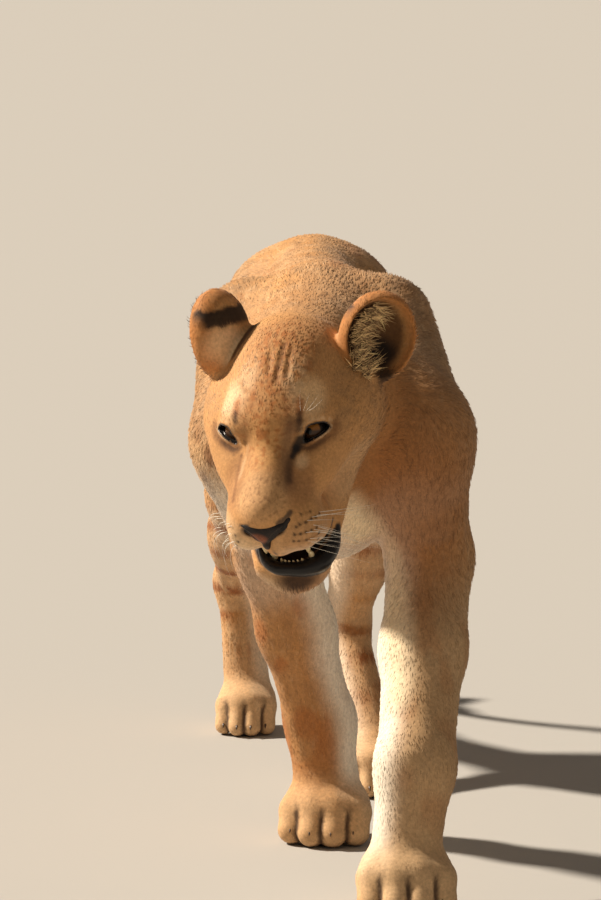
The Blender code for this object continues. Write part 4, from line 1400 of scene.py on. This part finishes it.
def tubes(paths, radii, sides=5):
    """Rings of a tube round each path. paths is (tubes, stations, 3), radii is
    (tubes, stations). Each ring is the radius times cosine and sine of the
    angle round, in the two directions across the path. Ends are capped."""
    paths, radii = np.asarray(paths, float), np.asarray(radii, float)
    count, stations, _ = paths.shape
    along = np.gradient(paths, axis=1)
    along /= np.linalg.norm(along, axis=2, keepdims=True)
    start = np.where(np.abs(along[:, :1, 2:]) < 0.9, (0.0, 0.0, 1.0), (1.0, 0.0, 0.0))
    first = np.cross(along, np.broadcast_to(start, along.shape))
    first /= np.linalg.norm(first, axis=2, keepdims=True)
    second = np.cross(along, first)
    angle = (np.arange(sides) / sides * 2 * math.pi)[:, None]
    ring = first[:, :, None] * np.cos(angle) + second[:, :, None] * np.sin(angle)
    points = paths[:, :, None] + ring * radii[:, :, None, None]
    i, j = (v.ravel() for v in np.indices((stations - 1, sides)))
    k = (j + 1) % sides
    a, b, c, d = i * sides + j, i * sides + k, (i + 1) * sides + k, (i + 1) * sides + j
    fan, last = np.arange(1, sides - 1), (stations - 1) * sides
    first_end, last_end = np.zeros_like(fan), np.full_like(fan, last)
    faces = np.concatenate([np.stack(three, axis=1) for three in (
        (a, b, c), (a, c, d), (first_end, fan + 1, fan), (last_end, last + fan, last + fan + 1),
    )])
    offsets = np.arange(count)[:, None, None] * stations * sides
    return points.reshape(-1, 3), (faces[None] + offsets).reshape(-1, 3)


def tube_piece(name, paths, radii, sides, look):
    """One piece of many tubes, whose paths are in the model's own frame."""
    tube_points, faces = tubes(paths, radii, sides)
    mesh = mesh_from(name, tube_points, faces)
    mesh.materials.append(look)
    place(name, mesh)
    print(name, len(paths), "tubes,", len(faces), "triangles")


print("a tube of three stations has", len(tubes([[(0, 0, 0), (0, 1, 0), (0, 2, 0)]],
                                               [[1, 1, 1]])[1]), "triangles")

# %% Lid rims
RIM_RADIUS, RIM_OUT, RIM_LEAST = 0.0011, 0.0010, 0.0078
rim_paths, rim_radii = [], []
for side in (1, -1):
    flat = smooth_path(LIDS, 5, closed=True)
    flat = np.vstack((flat, flat[:1]))
    out = np.sqrt(np.maximum((EYE_RADIUS + RIM_OUT) ** 2 - (flat**2).sum(1), RIM_LEAST**2))
    local = np.stack((flat[:, 0], out, flat[:, 1]), axis=1)
    rim_paths.append(eye_place(side) + local @ eye_axes(side).T - ORIGIN)
    rim_radii.append(np.full(len(flat), RIM_RADIUS))
# bare dark skin, always wet from the eye, so it shines in a thin line
LID_LOOK = two_tone("wet lid skin", "#17100d", "#3a2a20", 1.11, 0.25)
tube_piece("lid_rims", rim_paths, rim_radii, 8, LID_LOOK)

# %% [markdown]
# ## Nose leather
# The pad is bare pebbled skin, broad above and drawn in to the septum, with a
# comma-shaped nostril curling up each side. It is a small field of its own,
# meshed at under a millimetre. It is black along its top and round the
# nostrils, pink on her right half, and dark on her left half as painted shade.

# %% Nose pad
NOSTRIL = [                 # in the head's frame; the last value is the radius
    (0.0080, 0.148, -0.0730, 0.0020), (0.0125, 0.148, -0.0650, 0.0038),
    (0.0200, 0.146, -0.0575, 0.0040), (0.0265, 0.141, -0.0540, 0.0030),
    (0.0310, 0.136, -0.0520, 0.0012),
]
NOSE_REACH, NOSE_STEP = 0.046, 0.0009


def nose_pad():
    """A field for the pad: five blobs melted, two curved nostrils carved."""
    pad = Field(*(
        np.arange(middle - NOSE_REACH, middle + NOSE_REACH, NOSE_STEP).astype(np.float32)
        for middle in on_head(*NOSE)
    ))
    for spot, radii, blend in (
        ((0, 0.1285, -0.0535), (0.0345, 0.0170, 0.0125), 0.004),
        ((0, 0.1335, -0.0620), (0.0190, 0.0145, 0.0140), 0.006),
        ((0.001, 0.136, -0.0760), (0.0068, 0.0100, 0.0140), 0.004),
        ((0.0320, 0.1215, -0.0480), (0.0075, 0.0090, 0.0060), 0.005),
        ((-0.0320, 0.1215, -0.0480), (0.0075, 0.0090, 0.0060), 0.005),
    ):
        pad.melt(blob(on_head(*spot), radii, HEAD_AXES), blend)
    for side in (1, -1):
        trail = smooth_path([(*on_head(side * x, y, z), r) for x, y, z, r in NOSTRIL], 4)
        for a, b in zip(trail, trail[1:]):
            pad.carve(rod(a[:3], b[:3], a[3], b[3]), 0.0025)
    return pad.surface()


nose_points, nose_quads = nose_pad()
print("nose leather", 2 * len(nose_quads), "triangles")

# %% Nose finish
PEBBLE_MM, PEBBLE_BUMP_MM = 1.54, 0.4
face = in_head(nose_points)
# pink only on her right half: her left half, away from the lamp, stays dark as painted shade
pink = patch(face, (-0.0070, 0.150, -0.0635), (0.0130, 0.014, 0.0090), 0.4)
colours = np.tile(linear("#1d130f"), (len(nose_points), 1))
colours = mixed(colours, linear("#8c4f31"), 0.95 * pink)
colours = mixed(colours, SOOT, 0.9 * step(face[:, 2], -0.0520, -0.0470))
colours = mixed(colours, SOOT, stroke(fold(face), NOSTRIL, 0.0050))
colours = mixed(colours, linear("#35241c"), 0.4 * speckle(nose_points, 0.0022, 31, 0.5, 0.8))
mesh = mesh_from("nose_leather", nose_points - ORIGIN, nose_quads)
add_colours(mesh, "tint", colours)
# moist but pebbled, so its gloss is broken into a soft grain
NOSE_LOOK, tree, shader = new_material("nose leather", 0.50)
painted(tree, shader)
spots = add_node(tree, "ShaderNodeTexCoord").outputs["Object"]
pebbles = add_node(tree, "ShaderNodeTexVoronoi", {"Vector": spots, "Scale": 1000 / PEBBLE_MM})
bump = add_node(tree, "ShaderNodeBump", {
    "Height": pebbles.outputs["Distance"], "Strength": 0.6, "Distance": PEBBLE_BUMP_MM / 1000,
})
tree.links.new(bump.outputs["Normal"], shader.inputs["Normal"])
shader.inputs["Specular IOR Level"].default_value = 0.3
mesh.materials.append(NOSE_LOOK)
nose = place("nose_leather", mesh)
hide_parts("nose")
print("nose leather in", NOSE_LOOK.name)

# %% [markdown]
# ## Teeth
# Between her parted lips show the lower incisors in a shallow arc, the lower
# canines beside them and the tips of the upper canines. A tooth is a tube
# whose radius falls to its tip as the root of 1 - t^2.2, bowed by its bend.

# %% Teeth
JAW_MIDDLE = 0.0190


def on_head_many(path):
    """Head distances of many points, given in the model's own frame."""
    return HEAD + np.asarray(path) @ HEAD_AXES.T - ORIGIN


def tooth(root, tip, width, bend=0.0):
    """A cone's path from root to tip, bowed forwards, with its radius at each station."""
    t = np.linspace(0, 1, 7)[:, None]
    root, tip = np.array(root), np.array(tip)
    path = root + (tip - root) * t + np.array((0, -bend, 0)) * (t * (1 - t) * 4)
    return on_head_many(path), width * np.sqrt(np.maximum(1 - t[:, 0] ** 2.2, 0.012))


made = []
for k in np.linspace(-1, 1, 6):
    x, y = JAW_MIDDLE + 0.0145 * k, 0.1135 - 0.004 * k * k
    size = 0.0026 if abs(k) > 0.9 else 0.0021
    made.append(tooth((x, y - 0.003, -0.147), (x, y + 0.001, -0.1335), size))
for side, top in ((1, -0.1240), (-1, -0.1260)):
    x = JAW_MIDDLE + side * 0.0250
    made.append(tooth((x, 0.1010, -0.148), (x + side * 0.003, 0.108, top), 0.0046, 0.003))
for side in (1, -1):
    x = JAW_MIDDLE - 0.005 + side * 0.0300
    made.append(tooth((x, 0.1080, -0.108), (x, 0.1060, -0.1290), 0.0045, 0.002))
# enamel is glossy, and mottled from yellow to ivory
ENAMEL = two_tone("tooth enamel", "#c9a566", "#efe2bf", 4.55, 0.28)
tube_piece("teeth", [path for path, _ in made], [radius for _, radius in made], 10, ENAMEL)

# %% [markdown]
# ## Claws
# A walking lion keeps its claws drawn in, so that only dark horn points show
# at the ends of the toes. Each is a short tube that curves down.

# %% Claws
CLAW_LENGTH, CLAW_RISE, CLAW_DROP, CLAW_RADIUS = 0.0105, 0.003, 0.009, 0.0024
claw_paths, claw_radii = [], []
t = np.linspace(0, 1, 8)[:, None]
for legs, size in ((FORE_LEGS, FORE_PAW), (HIND_LEGS, HIND_PAW)):
    for leg in legs.values():
        for _, _, tip, thick, forward in toes(leg["ball"], leg["heading"], *size):
            start = tip + forward * thick * 0.55 + np.array((0, 0, thick * 0.25))
            height = np.array((0, 0, CLAW_RISE)) * t - np.array((0, 0, CLAW_DROP)) * t**2
            claw_paths.append(start + forward * CLAW_LENGTH * t + height - ORIGIN)
            claw_radii.append(CLAW_RADIUS * np.sqrt(np.maximum(1 - t[:, 0] ** 1.6, 0.01)))
# horn is keratin in layers: smooth, with streaks from dark to honey
HORN = two_tone("claw horn", "#2a1d15", "#6d5540", 3.33, 0.35)
tube_piece("claws", claw_paths, claw_radii, 8, HORN)

# %% [markdown]
# ## Whiskers
# Whiskers are long, stiff, white hairs, one from each dark spot of the pads
# and a few over each eye. They droop as the square of the way along them.

# %% Whiskers
whisker_paths, whisker_radii = [], []
t = np.linspace(0, 1, 10)[:, None]
for side in (1, -1):
    for row, spots in enumerate(WHISKER_ROWS[:4]):
        for k, spot in enumerate(spots):
            length = RANDOM.uniform(0.055, 0.095) * (1.0 if k < 3 else 0.7)
            root = np.array(spot) * (side, 1, 1) - (side * 0.003, 0.003, 0)
            back = -0.18 - 0.10 * RANDOM.random()
            down = -0.10 - 0.14 * row + RANDOM.normal(0, 0.13)
            heading = np.array((side * 0.92, back, down))
            droop = np.array((side * -0.10, -0.30, -0.15 - 0.4 * RANDOM.random()))
            if side < 0:
                length, droop = length * 0.72, droop + (0.35, 0.0, -0.45)
            whisker_paths.append(on_head_many(root + heading * length * t + droop * length * t**2))
            whisker_radii.append(0.00036 * (1 - 0.85 * t[:, 0]))
for side in (1, -1):
    for k, length in enumerate((0.045, 0.034, 0.040, 0.028)):
        root = np.array((side * (0.046 + 0.004 * k), 0.004, 0.040))
        heading = np.array((side * (0.15 + 0.2 * k), 0.25, 0.85 - 0.1 * k))
        path = root + heading * length * t + np.array((0, -0.3, 0)) * 0.045 * t**2
        whisker_paths.append(on_head_many(path))
        whisker_radii.append(0.00022 * (1 - 0.85 * t[:, 0]))
# white hair without pigment, smoother and glossier than the coat
WHITE_HAIR = two_tone("white whisker hair", "#e8dcc6", "#fffaf0", 8.33, 0.35)
tube_piece("whiskers", whisker_paths, whisker_radii, 5, WHITE_HAIR)

# %% [markdown]
# ## The lie of the coat
# Hair lies away from the nose over the face, back along the neck and trunk,
# and down the legs. Particle hair would not survive export, so each tuft is a
# small closed mesh. Its direction comes from lines drawn along the body, each
# counted by how near it is, and laid into the skin.

# %% Lines of the lie
LIE = [                                     # line from, to, and the way hair lies there
    ((-0.02, 0.16, 0.76), (0.036, 0.50, 0.86), (0.05, 1.0, 0.10)),
    ((0.036, 0.50, 0.86), (0.022, 1.00, 0.84), (0, 1, 0)),
    ((0.022, 1.00, 0.84), (0.018, 1.28, 0.80), (0, 1, -0.15)),
    ((0.16, 0.20, 0.72), (0.17, 0.40, 0.66), (0, 0.75, -0.65)),
    ((-0.13, 0.22, 0.72), (-0.11, 0.45, 0.66), (0, 0.75, -0.65)),
    ((0.19, 0.60, 0.66), (0.15, 1.00, 0.66), (0, 0.93, -0.35)),
    ((-0.15, 0.60, 0.66), (-0.12, 1.00, 0.66), (0, 0.93, -0.35)),
    ((0.03, 0.55, 0.47), (0.02, 1.00, 0.52), (0, 1, 0.05)),
    ((0.05, 0.16, 0.62), (0.06, 0.22, 0.48), (0, 0.05, -1)),
    ((-0.02, 0.13, 0.62), (0.0, 0.22, 0.50), (0, 0.15, -1)),
    ((0.15, 1.12, 0.72), (0.13, 1.20, 0.60), (0, 0.75, -0.65)),
    ((-0.12, 1.12, 0.72), (-0.10, 1.20, 0.60), (0, 0.75, -0.65)),
]
for legs, stretches in (
    (FORE_LEGS, (("shoulder", "elbow", (0, 0.35, -0.92)), ("elbow", "wrist", (0, 0.10, -1)),
                 ("wrist", "ball", (0, -0.15, -1)))),
    (HIND_LEGS, (("hip", "knee", (0, 0.35, -0.93)), ("knee", "hock", (0, 0.45, -0.90)),
                 ("hock", "ball", (0, -0.1, -1)))),
):
    for leg in legs.values():
        LIE += [(leg[a], leg[b], way) for a, b, way in stretches]
        LIE.append((leg["ball"], np.array(leg["ball"]) + (0, -0.05, -0.02), (0, -1, -0.35)))
LIE += [(a[:3], b[:3], np.array(b[:3]) - a[:3]) for a, b in zip(TAIL, TAIL[1:])]
print("the lie is drawn by", len(LIE), "lines")

# %% The way and length of hair
FACE_PARTING = (0.0, 0.165, -0.050)       # hair lies away from here, before the nose,
CHIN_PARTING = (0.012, 0.150, -0.120)     # and on the chin away from here


def lie_of(points):
    """The way hair lies: line directions weighted by one over distance to the
    fourth; on the head, away from the nose; on an ear, from base to edge."""
    total = np.zeros((len(points), 3))
    for a, b, way in LIE:
        way = np.array(way, float) / np.linalg.norm(way)
        total += way / (line_distance(points, (a, b))[:, None] + 0.02) ** 4
    total /= np.linalg.norm(total, axis=1, keepdims=True)
    face = in_head(points)
    away = face - FACE_PARTING
    lower = fall(face[:, 2], -0.140, -0.112) * step(face[:, 1], -0.02, 0.05)
    away = away + (face - CHIN_PARTING - away) * lower[:, None]
    away /= np.linalg.norm(away, axis=1, keepdims=True)
    near_head = fall(np.linalg.norm(face - HEAD_MIDDLE, axis=1), 0.15, 0.21)[:, None]
    total = total * (1 - near_head) + (away @ HEAD_AXES.T) * near_head
    for side in ("left", "right"):
        local = ear_local(points, side)
        here = fall(ear_reach(local), 1.0, 1.25)[:, None]
        out = local * (1, 0, 1) + (0, -0.01, 0.055)
        out /= np.linalg.norm(out, axis=1, keepdims=True)
        total = total * (1 - here) + (out @ frame_from(*EARS[side][1:]).T) * here
    return total


def length_of(points):
    """Hair length: 4 mm at the lips, 10 on crown and legs, 14 on the trunk."""
    _, y, z = points.T
    face = in_head(points)
    from_nose = np.linalg.norm(face - (0, 0.12, -0.06), axis=1)
    head_length = 0.0038 + 0.0062 * step(from_nose, 0.03, 0.26)
    body_length = 0.0135 - 0.0045 * fall(z, 0.34, 0.50) - 0.0035 * fall(z, 0.06, 0.16)
    near_head = fall(np.linalg.norm(face - HEAD_MIDDLE, axis=1), 0.17, 0.23)
    length = body_length + (head_length - body_length) * near_head
    ruff = patch(points, (0.036, 0.47, 0.86), (0.09, 0.12, 0.06), 0.5)
    jowl = patch(fold(face), (0.100, -0.100, -0.085), (0.04, 0.06, 0.05), 0.5)
    belly = fall(z, 0.47, 0.52) * step(y, 0.55, 0.65) * fall(y, 0.95, 1.05) * step(z, 0.44, 0.46)
    on_ears = np.zeros(len(points))
    for side in ("left", "right"):
        local = ear_local(points, side)
        here = fall(ear_reach(local), 1.0, 1.2) * step(local[:, 2], -0.045, -0.025)
        on_ears = np.maximum(on_ears, here)
    return length * (1 + 0.45 * ruff + 0.6 * jowl + 0.5 * belly) * (1 - 0.42 * on_ears)


print("hair on the back", (1000 * length_of(np.array([WITHERS]))).round(1), "mm")

# %% [markdown]
# ## Tufts
# Each tuft is a curved three-sided spike: a root sunk in the skin, a waist
# half way, and a point that bends down onto the coat. Seven points and ten
# faces are enough at this size. Its normals lean towards the skin's own, so
# that light falls on the coat as on one soft surface.

# %% Spikes
TUFT_FACES = np.array((
    (0, 3, 4), (0, 4, 1), (1, 4, 5), (1, 5, 2), (2, 5, 3), (2, 3, 0), (0, 1, 2),
    (3, 6, 4), (4, 6, 5), (5, 6, 3),
))
TUFT_UV = np.array(((0, 0), (1, 0), (0.5, 0.1), (0.15, 0.5), (0.85, 0.5), (0.5, 0.55), (0.5, 1)))
# the darker roots are painted shade where tufts lie under each other; the tips are paler
TUFT_SHADE = np.array((0.80, 0.80, 0.86, 1.0, 1.0, 1.04, 1.10))   # dark roots, pale tips
UV_PATCH = 0.003
WAIST = 0.72                      # how wide the waist is, as a share of the root
LEAN = 0.42                       # how far a tuft's normals part from the skin's


def spikes(roots, normals, ways, lengths, widths, lift, wander):
    """Seven points for each tuft, and their normals. The way is laid into the
    skin, turned by a little at random, and lifted off it by an angle in radians
    that falls away towards the point."""
    flat = unit(ways - normals * (ways * normals).sum(1, keepdims=True))
    across = np.cross(normals, flat)
    turn = RANDOM.normal(0, wander, (len(roots), 1))
    cos, sin = np.cos(turn), np.sin(turn)
    flat, across = flat * cos + across * sin, across * cos - flat * sin
    lift = lift * RANDOM.uniform(0.6, 1.4, (len(roots), 1))
    lengths, widths = lengths[:, None], widths[:, None]
    first = flat * np.cos(lift) + normals * np.sin(lift)
    second = flat * np.cos(lift * 0.1) + normals * np.sin(lift * 0.1)
    root = roots - normals * (0.0005 + 0.55 * widths)
    waist = root + first * lengths * 0.5
    tip = waist + second * lengths * 0.5
    corners = []
    for middle, wide in ((root, 1.0), (waist, WAIST)):
        half = widths * 0.5 * wide
        corners += [middle + across * half, middle - across * half, middle + normals * half]
    points = np.stack((*corners, tip), axis=1)
    none = normals * 0
    sideways = np.stack((across, -across, none, across, -across, none, none), axis=1)
    lean = unit((sideways * LEAN + normals[:, None]).reshape(-1, 3))
    return points, lean


print("a tuft has", len(TUFT_UV), "points and", len(TUFT_FACES), "faces")

# %% [markdown]
# ## A plan of the coat
# Baking the coat's colours needs a flat plan of it. Unwrapping a million faces
# would make dust of them. Instead each tuft becomes a small patch of the plan
# at its root's place: the angle round what it grows on, and how far along.

# %% The plan


def around(a, b):
    """The angle of two distances, from 0 to 1 for a whole turn."""
    return np.arctan2(a, b) / (2 * math.pi) + 0.5


def from_pole(rows):
    """The angle down from the upright direction, from 0 to 1."""
    return np.arccos(np.clip(unit(rows)[:, 2], -1, 1)) / math.pi


def side_by_side(left, right, along):
    """Left and right on the two halves of the plan: whichever each root is nearer."""
    on_left = np.linalg.norm(left, axis=1) < np.linalg.norm(right, axis=1)
    local = np.where(on_left[:, None], left, right)
    across = around(local[:, 0], local[:, 1]) * 0.49 + np.where(on_left, 0, 0.5)
    return across, along(local)


def unwrap(points, kind):
    """Where each root falls on a plan of the skin: by angle round and distance
    along whatever it grows on, each in 0 to 1."""
    x, y, z = points.T
    if kind == "head":
        face = in_head(points) - (0, -0.03, -0.03)
        plan = around(face[:, 0], face[:, 1]), from_pole(face)
    elif kind == "ears":
        plan = side_by_side(ear_local(points, "left"), ear_local(points, "right"), from_pole)
    elif kind in ("fore", "hind"):
        offsets = []
        for leg in (FORE_LEGS if kind == "fore" else HIND_LEGS).values():
            px, py, pz = np.array(limb_path(leg, kind))[::-1].T
            middle = np.stack((np.interp(z, pz, px), np.interp(z, pz, py)), axis=1)
            offsets.append(points[:, :2] - middle)
        plan = side_by_side(*offsets, lambda _: np.clip(z / 0.60, 0, 1))
    elif kind == "tail":
        middle = np.interp(z, (0.24, 0.79), (1.60, 1.30))
        plan = around(x, y - middle), np.clip((z - 0.20) / 0.65, 0, 1)
    else:
        plan = around(x - 0.02, z - 0.66), np.clip(y / 1.5, 0, 1)
    return np.stack(plan, axis=1)


def grow(name, roots, normals, ways, lengths, widths, colours, lift, wander, kind, slot):
    """One piece of coat from its roots: points, faces, normals, colours and plan."""
    points, lean = spikes(roots, normals, ways, lengths, widths, lift, wander)
    count = len(roots)
    faces = (TUFT_FACES[None] + np.arange(count)[:, None, None] * len(TUFT_UV)).reshape(-1, 3)
    mesh = mesh_from(name, points.reshape(-1, 3) - ORIGIN, faces)
    shade = RANDOM.uniform(0.80, 1.22, (count, 1, 1)) * TUFT_SHADE[None, :, None]
    add_colours(mesh, "tint", np.clip(colours[:, None] * shade, 0, 1).reshape(-1, 3))
    plan = unwrap(roots, kind)[:, None] * (1 - UV_PATCH) + TUFT_UV[None] * UV_PATCH
    layer = mesh.uv_layers.new(name="OFBake")
    corners = plan.reshape(-1, 2)[faces.ravel()]
    layer.data.foreach_set("uv", corners.astype(np.float32).ravel())
    mesh.normals_split_custom_set_from_vertices(lean.astype(np.float32))
    mesh.materials.append(TUFT_LOOK)
    place(name, mesh)
    print(name, count, "tufts", len(faces), "triangles")


print("patches of the plan are", UV_PATCH, "wide")

# %% [markdown]
# ## Roots
# Hair grows closer where it is shorter, and not on lips, nose, lids or soles.
# Roots drawn at random would leave gaps, so they are dealt out evenly along
# the summed area of the skin's triangles, and each then takes a random place
# inside its own triangle.

# %% Roots all over the skin
SPREAD = 0.0098 * 88000           # tufts to a square metre, times their length
MOST_ROOTS = 150000
BARE_LIMIT, SOLE_HEIGHT = 0.25, 0.006
skin_mesh.calc_loop_triangles()
skin_faces = mesh_array(skin_mesh.loop_triangles, "vertices", 3).astype(int)
corners = skin_points[skin_faces]
cross = np.cross(corners[:, 1] - corners[:, 0], corners[:, 2] - corners[:, 0])
areas, middles = np.linalg.norm(cross, axis=1) / 2, corners.mean(1)
hairy = (skin_bare[skin_faces].max(1) < BARE_LIMIT) * (middles[:, 2] > SOLE_HEIGHT)
wanted = areas * (SPREAD / length_of(middles)) * hairy
TOTAL = int(min(wanted.sum(), MOST_ROOTS) * COAT_SHARE)
share = np.cumsum(wanted) / wanted.sum()
chosen = np.searchsorted(share, (np.arange(TOTAL) + RANDOM.random(TOTAL)) / TOTAL)
a, b = RANDOM.random(TOTAL), RANDOM.random(TOTAL)
over = a + b > 1
a, b = np.where(over, 1 - a, a), np.where(over, 1 - b, b)
weights = np.stack((1 - a - b, a, b), axis=1)[:, :, None]
roots = (corners[chosen] * weights).sum(1)
print("roots", TOTAL, "wanted", int(wanted.sum()), "skin area", float(areas.sum().round(3)))

# %% What each root gives its tuft
root_normals = unit((skin_normals[skin_faces[chosen]] * weights).sum(1))
root_colours, _ = markings(roots, root_normals)
root_ways, root_lengths = lie_of(roots), length_of(roots) * RANDOM.uniform(0.75, 1.25, TOTAL)
root_widths = np.clip(root_lengths * 0.13, 0.0007, 0.0018) * RANDOM.uniform(0.8, 1.2, TOTAL)
print("mean length", float(1000 * root_lengths.mean().round(5)), "mm")

# %% [markdown]
# ## Pieces of the coat
# One mesh of 1.5 million faces would be too heavy to bake and to print. The
# coat is parted where the animal's own parts meet, and a large part is cut
# from right to left until each piece is small enough.

# %% The coat
MOST_TUFTS = 19500                # in one piece
KINDS = {                         # what a piece grows on, and a node of the model
    "coat_face": ("head", "head"), "coat_skull": ("head", "head"),
    "coat_ears": ("ears", "ear_left"), "coat_neck": ("trunk", "neck"),
    "coat_shoulders": ("trunk", "chest"), "coat_back": ("trunk", "belly"),
    "coat_rump": ("trunk", "rump"), "coat_fore_legs": ("fore", "forearm_left"),
    "coat_hind_legs": ("hind", "shank_left"), "coat_tail": ("tail", "tail_base"),
}


def region_of(points):
    """The name of the coat piece that each root belongs to."""
    face = in_head(points)
    _, y, z = points.T
    region = np.full(len(points), "coat_back", dtype="U20")
    region[y < 0.62] = "coat_shoulders"
    region[y < 0.34] = "coat_neck"
    region[y >= 1.00] = "coat_rump"
    region[(z < 0.46) & (y < 0.66)] = "coat_fore_legs"
    region[(z < 0.46) & (y >= 0.66)] = "coat_hind_legs"
    region[(y > 1.372) & ((z > 0.42) | (y > 1.46))] = "coat_tail"
    head = np.linalg.norm(face - (0, -0.02, -0.04), axis=1) < 0.20
    region[head] = "coat_skull"
    region[head & (face[:, 1] > 0.0)] = "coat_face"
    for side in ("left", "right"):
        local = ear_local(points, side)
        near = np.linalg.norm(local / (0.062, 0.052, 0.070), axis=1) < 1.15
        region[near & (local[:, 2] > -0.05)] = "coat_ears"
    return region


regions = region_of(roots)
for name, (kind, slot) in KINDS.items():
    picked = np.flatnonzero(regions == name)
    parts = -(-int(len(picked) / COAT_SHARE) // MOST_TUFTS)
    order = picked[np.argsort(roots[picked, 0])]
    for number, some in enumerate(np.array_split(order, parts)):
        label = name if parts == 1 else f"{name}_{number + 1}"
        grow(label, *(each[some] for each in (
            roots, root_normals, root_ways, root_lengths, root_widths, root_colours,
        )), 0.26, 0.16, kind, slot)

# %% [markdown]
# ## Long hair
# Pale locks are combed outward across the hollow of each ear, and the tail
# ends in a dark tuft. They are the same spikes, longer and lifted further.

# %% Ear locks
LOCKS = {"left": (820, 0.92, 1.0), "right": (300, 0.60, 0.50)}
DARK_LOCK, PALE_LOCK = linear("#4a2a14"), linear("#f8cb8e")


def ear_locks(side, sign):
    """Roots along the ear's front edge, by angle round it, combed across the cup."""
    uniform, normal = RANDOM.uniform, RANDOM.normal
    axes = frame_from(*EARS[side][1:])
    number, spread, longer = LOCKS[side]      # how many, how near the rim, how long
    count = int(number * COAT_SHARE)
    angle = uniform(-1.45, 1.20, count)
    edge = spread * uniform(0.66, 1.0, count) + 0.12 * (angle < -0.8)
    local = np.stack((-sign * 0.048 * np.cos(angle) * edge, 0.004 + 0.014 * RANDOM.random(count),
                      0.055 * np.sin(angle) * edge), axis=1)
    way = np.stack((sign * uniform(0.8, 1.1, count), uniform(0.0, 0.3, count),
                    normal(0.16, 0.30, count) - 0.25 * np.sin(angle)), axis=1)
    facing = unit(np.stack((sign * 0.3 * np.ones(count), np.ones(count), 0 * angle), axis=1))
    dark = 0.85 * step(RANDOM.random(count), 0.45, 0.75)
    colour = mixed(np.tile(PALE_LOCK, (count, 1)), DARK_LOCK, dark)
    # short fluff at the foot of the left ear
    low = (angle < -0.45) & (RANDOM.random(count) < 0.6 * (side == "left"))
    local += low[:, None] * np.array((-sign * 0.006, 0.016, -0.004))
    way += low[:, None] * normal(0, 0.45, (count, 3))
    lengths = longer * uniform(0.018, 0.040, count) * (1 - 0.45 * low)
    return (np.array(EARS[side][0]) + local @ axes.T, facing @ axes.T, way @ axes.T, lengths,
            uniform(0.0007, 0.0015, count), colour)


for side, sign in (("left", 1), ("right", -1)):
    grow(f"ear_locks_{side}", *ear_locks(side, sign), 0.16, 0.20, "ears", f"ear_{side}")

# %% Tail tuft
count = int(1500 * COAT_SHARE)
path = smooth_path([np.array(p[:3]) for p in TAIL[5:]], 8)
station = RANDOM.random(count) ** 0.8 * (len(path) - 1.01)
low = station.astype(int)
start = path[low] + (path[low + 1] - path[low]) * (station - low)[:, None]
way = unit(path[low + 1] - path[low])
spin = unit(np.cross(way, unit(RANDOM.normal(0, 1, (count, 3)))))
colour = mixed(np.tile(UMBER, (count, 1)), BROWN, 0.6 * RANDOM.random(count)) * 0.9
lengths, widths = RANDOM.uniform(0.036, 0.066, count), RANDOM.uniform(0.0016, 0.0028, count)
grow("tail_hair", start + spin * 0.012, spin, way + np.array((0, 0.25, -0.12)), lengths, widths,
     colour, 0.42, 0.24, "tail", "tail_tuft")

# %% [markdown]
# ## Floor, light and camera
# A plain pale floor, one warm lamp high on her right and a little behind her,
# and a weak fill from her left. Area lamps would fade along so long an animal,
# and sun lamps don't. The camera stands five metres ahead of her, at the height
# of a person's chest, and looks a little down at her through a long lens.

# %% Floor
FLOOR = 2000.0                    # half its width in metres, so that no edge shows
floor_corners = FLOOR * np.array(((-1, -1, 0), (1, -1, 0), (1, 1, 0), (-1, 1, 0)), float)
mesh = mesh_from("floor", floor_corners, np.array(((0, 1, 2, 3),)))
FLOOR_LOOK, tree, shader = new_material("pale matte floor", 0.9)
shader.inputs["Base Color"].default_value = (*linear("#b7b3ad"), 1)
mesh.materials.append(FLOOR_LOOK)
floor = bpy.data.objects.new("floor", mesh)
bpy.context.scene.collection.objects.link(floor)
print("floor", 2 * FLOOR, "m wide")

# %% Light


def lamp(name, heading, spread, power, colour):
    """A sun lamp shining along heading, as soft as a disc spread degrees wide."""
    light = bpy.data.lights.new(name, "SUN")
    light.angle, light.energy, light.color = math.radians(spread), power, linear(colour)
    thing = bpy.data.objects.new(name, light)
    bpy.context.scene.collection.objects.link(thing)
    thing.rotation_euler = Vector(heading).to_track_quat("-Z", "Y").to_euler()


lamp("key", (0.71, -0.20, -0.62), 4.0, 6.4, "#fff4e4")
lamp("fill", (-0.55, 0.80, -0.25), 50.0, 0.12, "#ffe9d2")
world = bpy.data.worlds.new("studio")
bpy.context.scene.world = world
world.use_nodes = True
background = world.node_tree.nodes["Background"]
background.inputs["Color"].default_value = (*linear("#efe6da"), 1)
background.inputs["Strength"].default_value = 0.18
bpy.context.scene.view_settings.view_transform = "Standard"
print("lamps", len(bpy.data.lights))

# %% Camera
camera = bpy.data.cameras.new("camera")
camera.lens, camera.sensor_width, camera.sensor_fit = 148.92, 36.0, "AUTO"
camera.clip_end = 5000.0
view = bpy.data.objects.new("camera", camera)
bpy.context.scene.collection.objects.link(view)
view.location = (-0.0443, -5.8250, 1.261)
view.rotation_euler = (math.radians(90 - 6.94), 0, 0)
bpy.context.scene.camera = view
print("camera", round(view.location[2], 3), "m high")
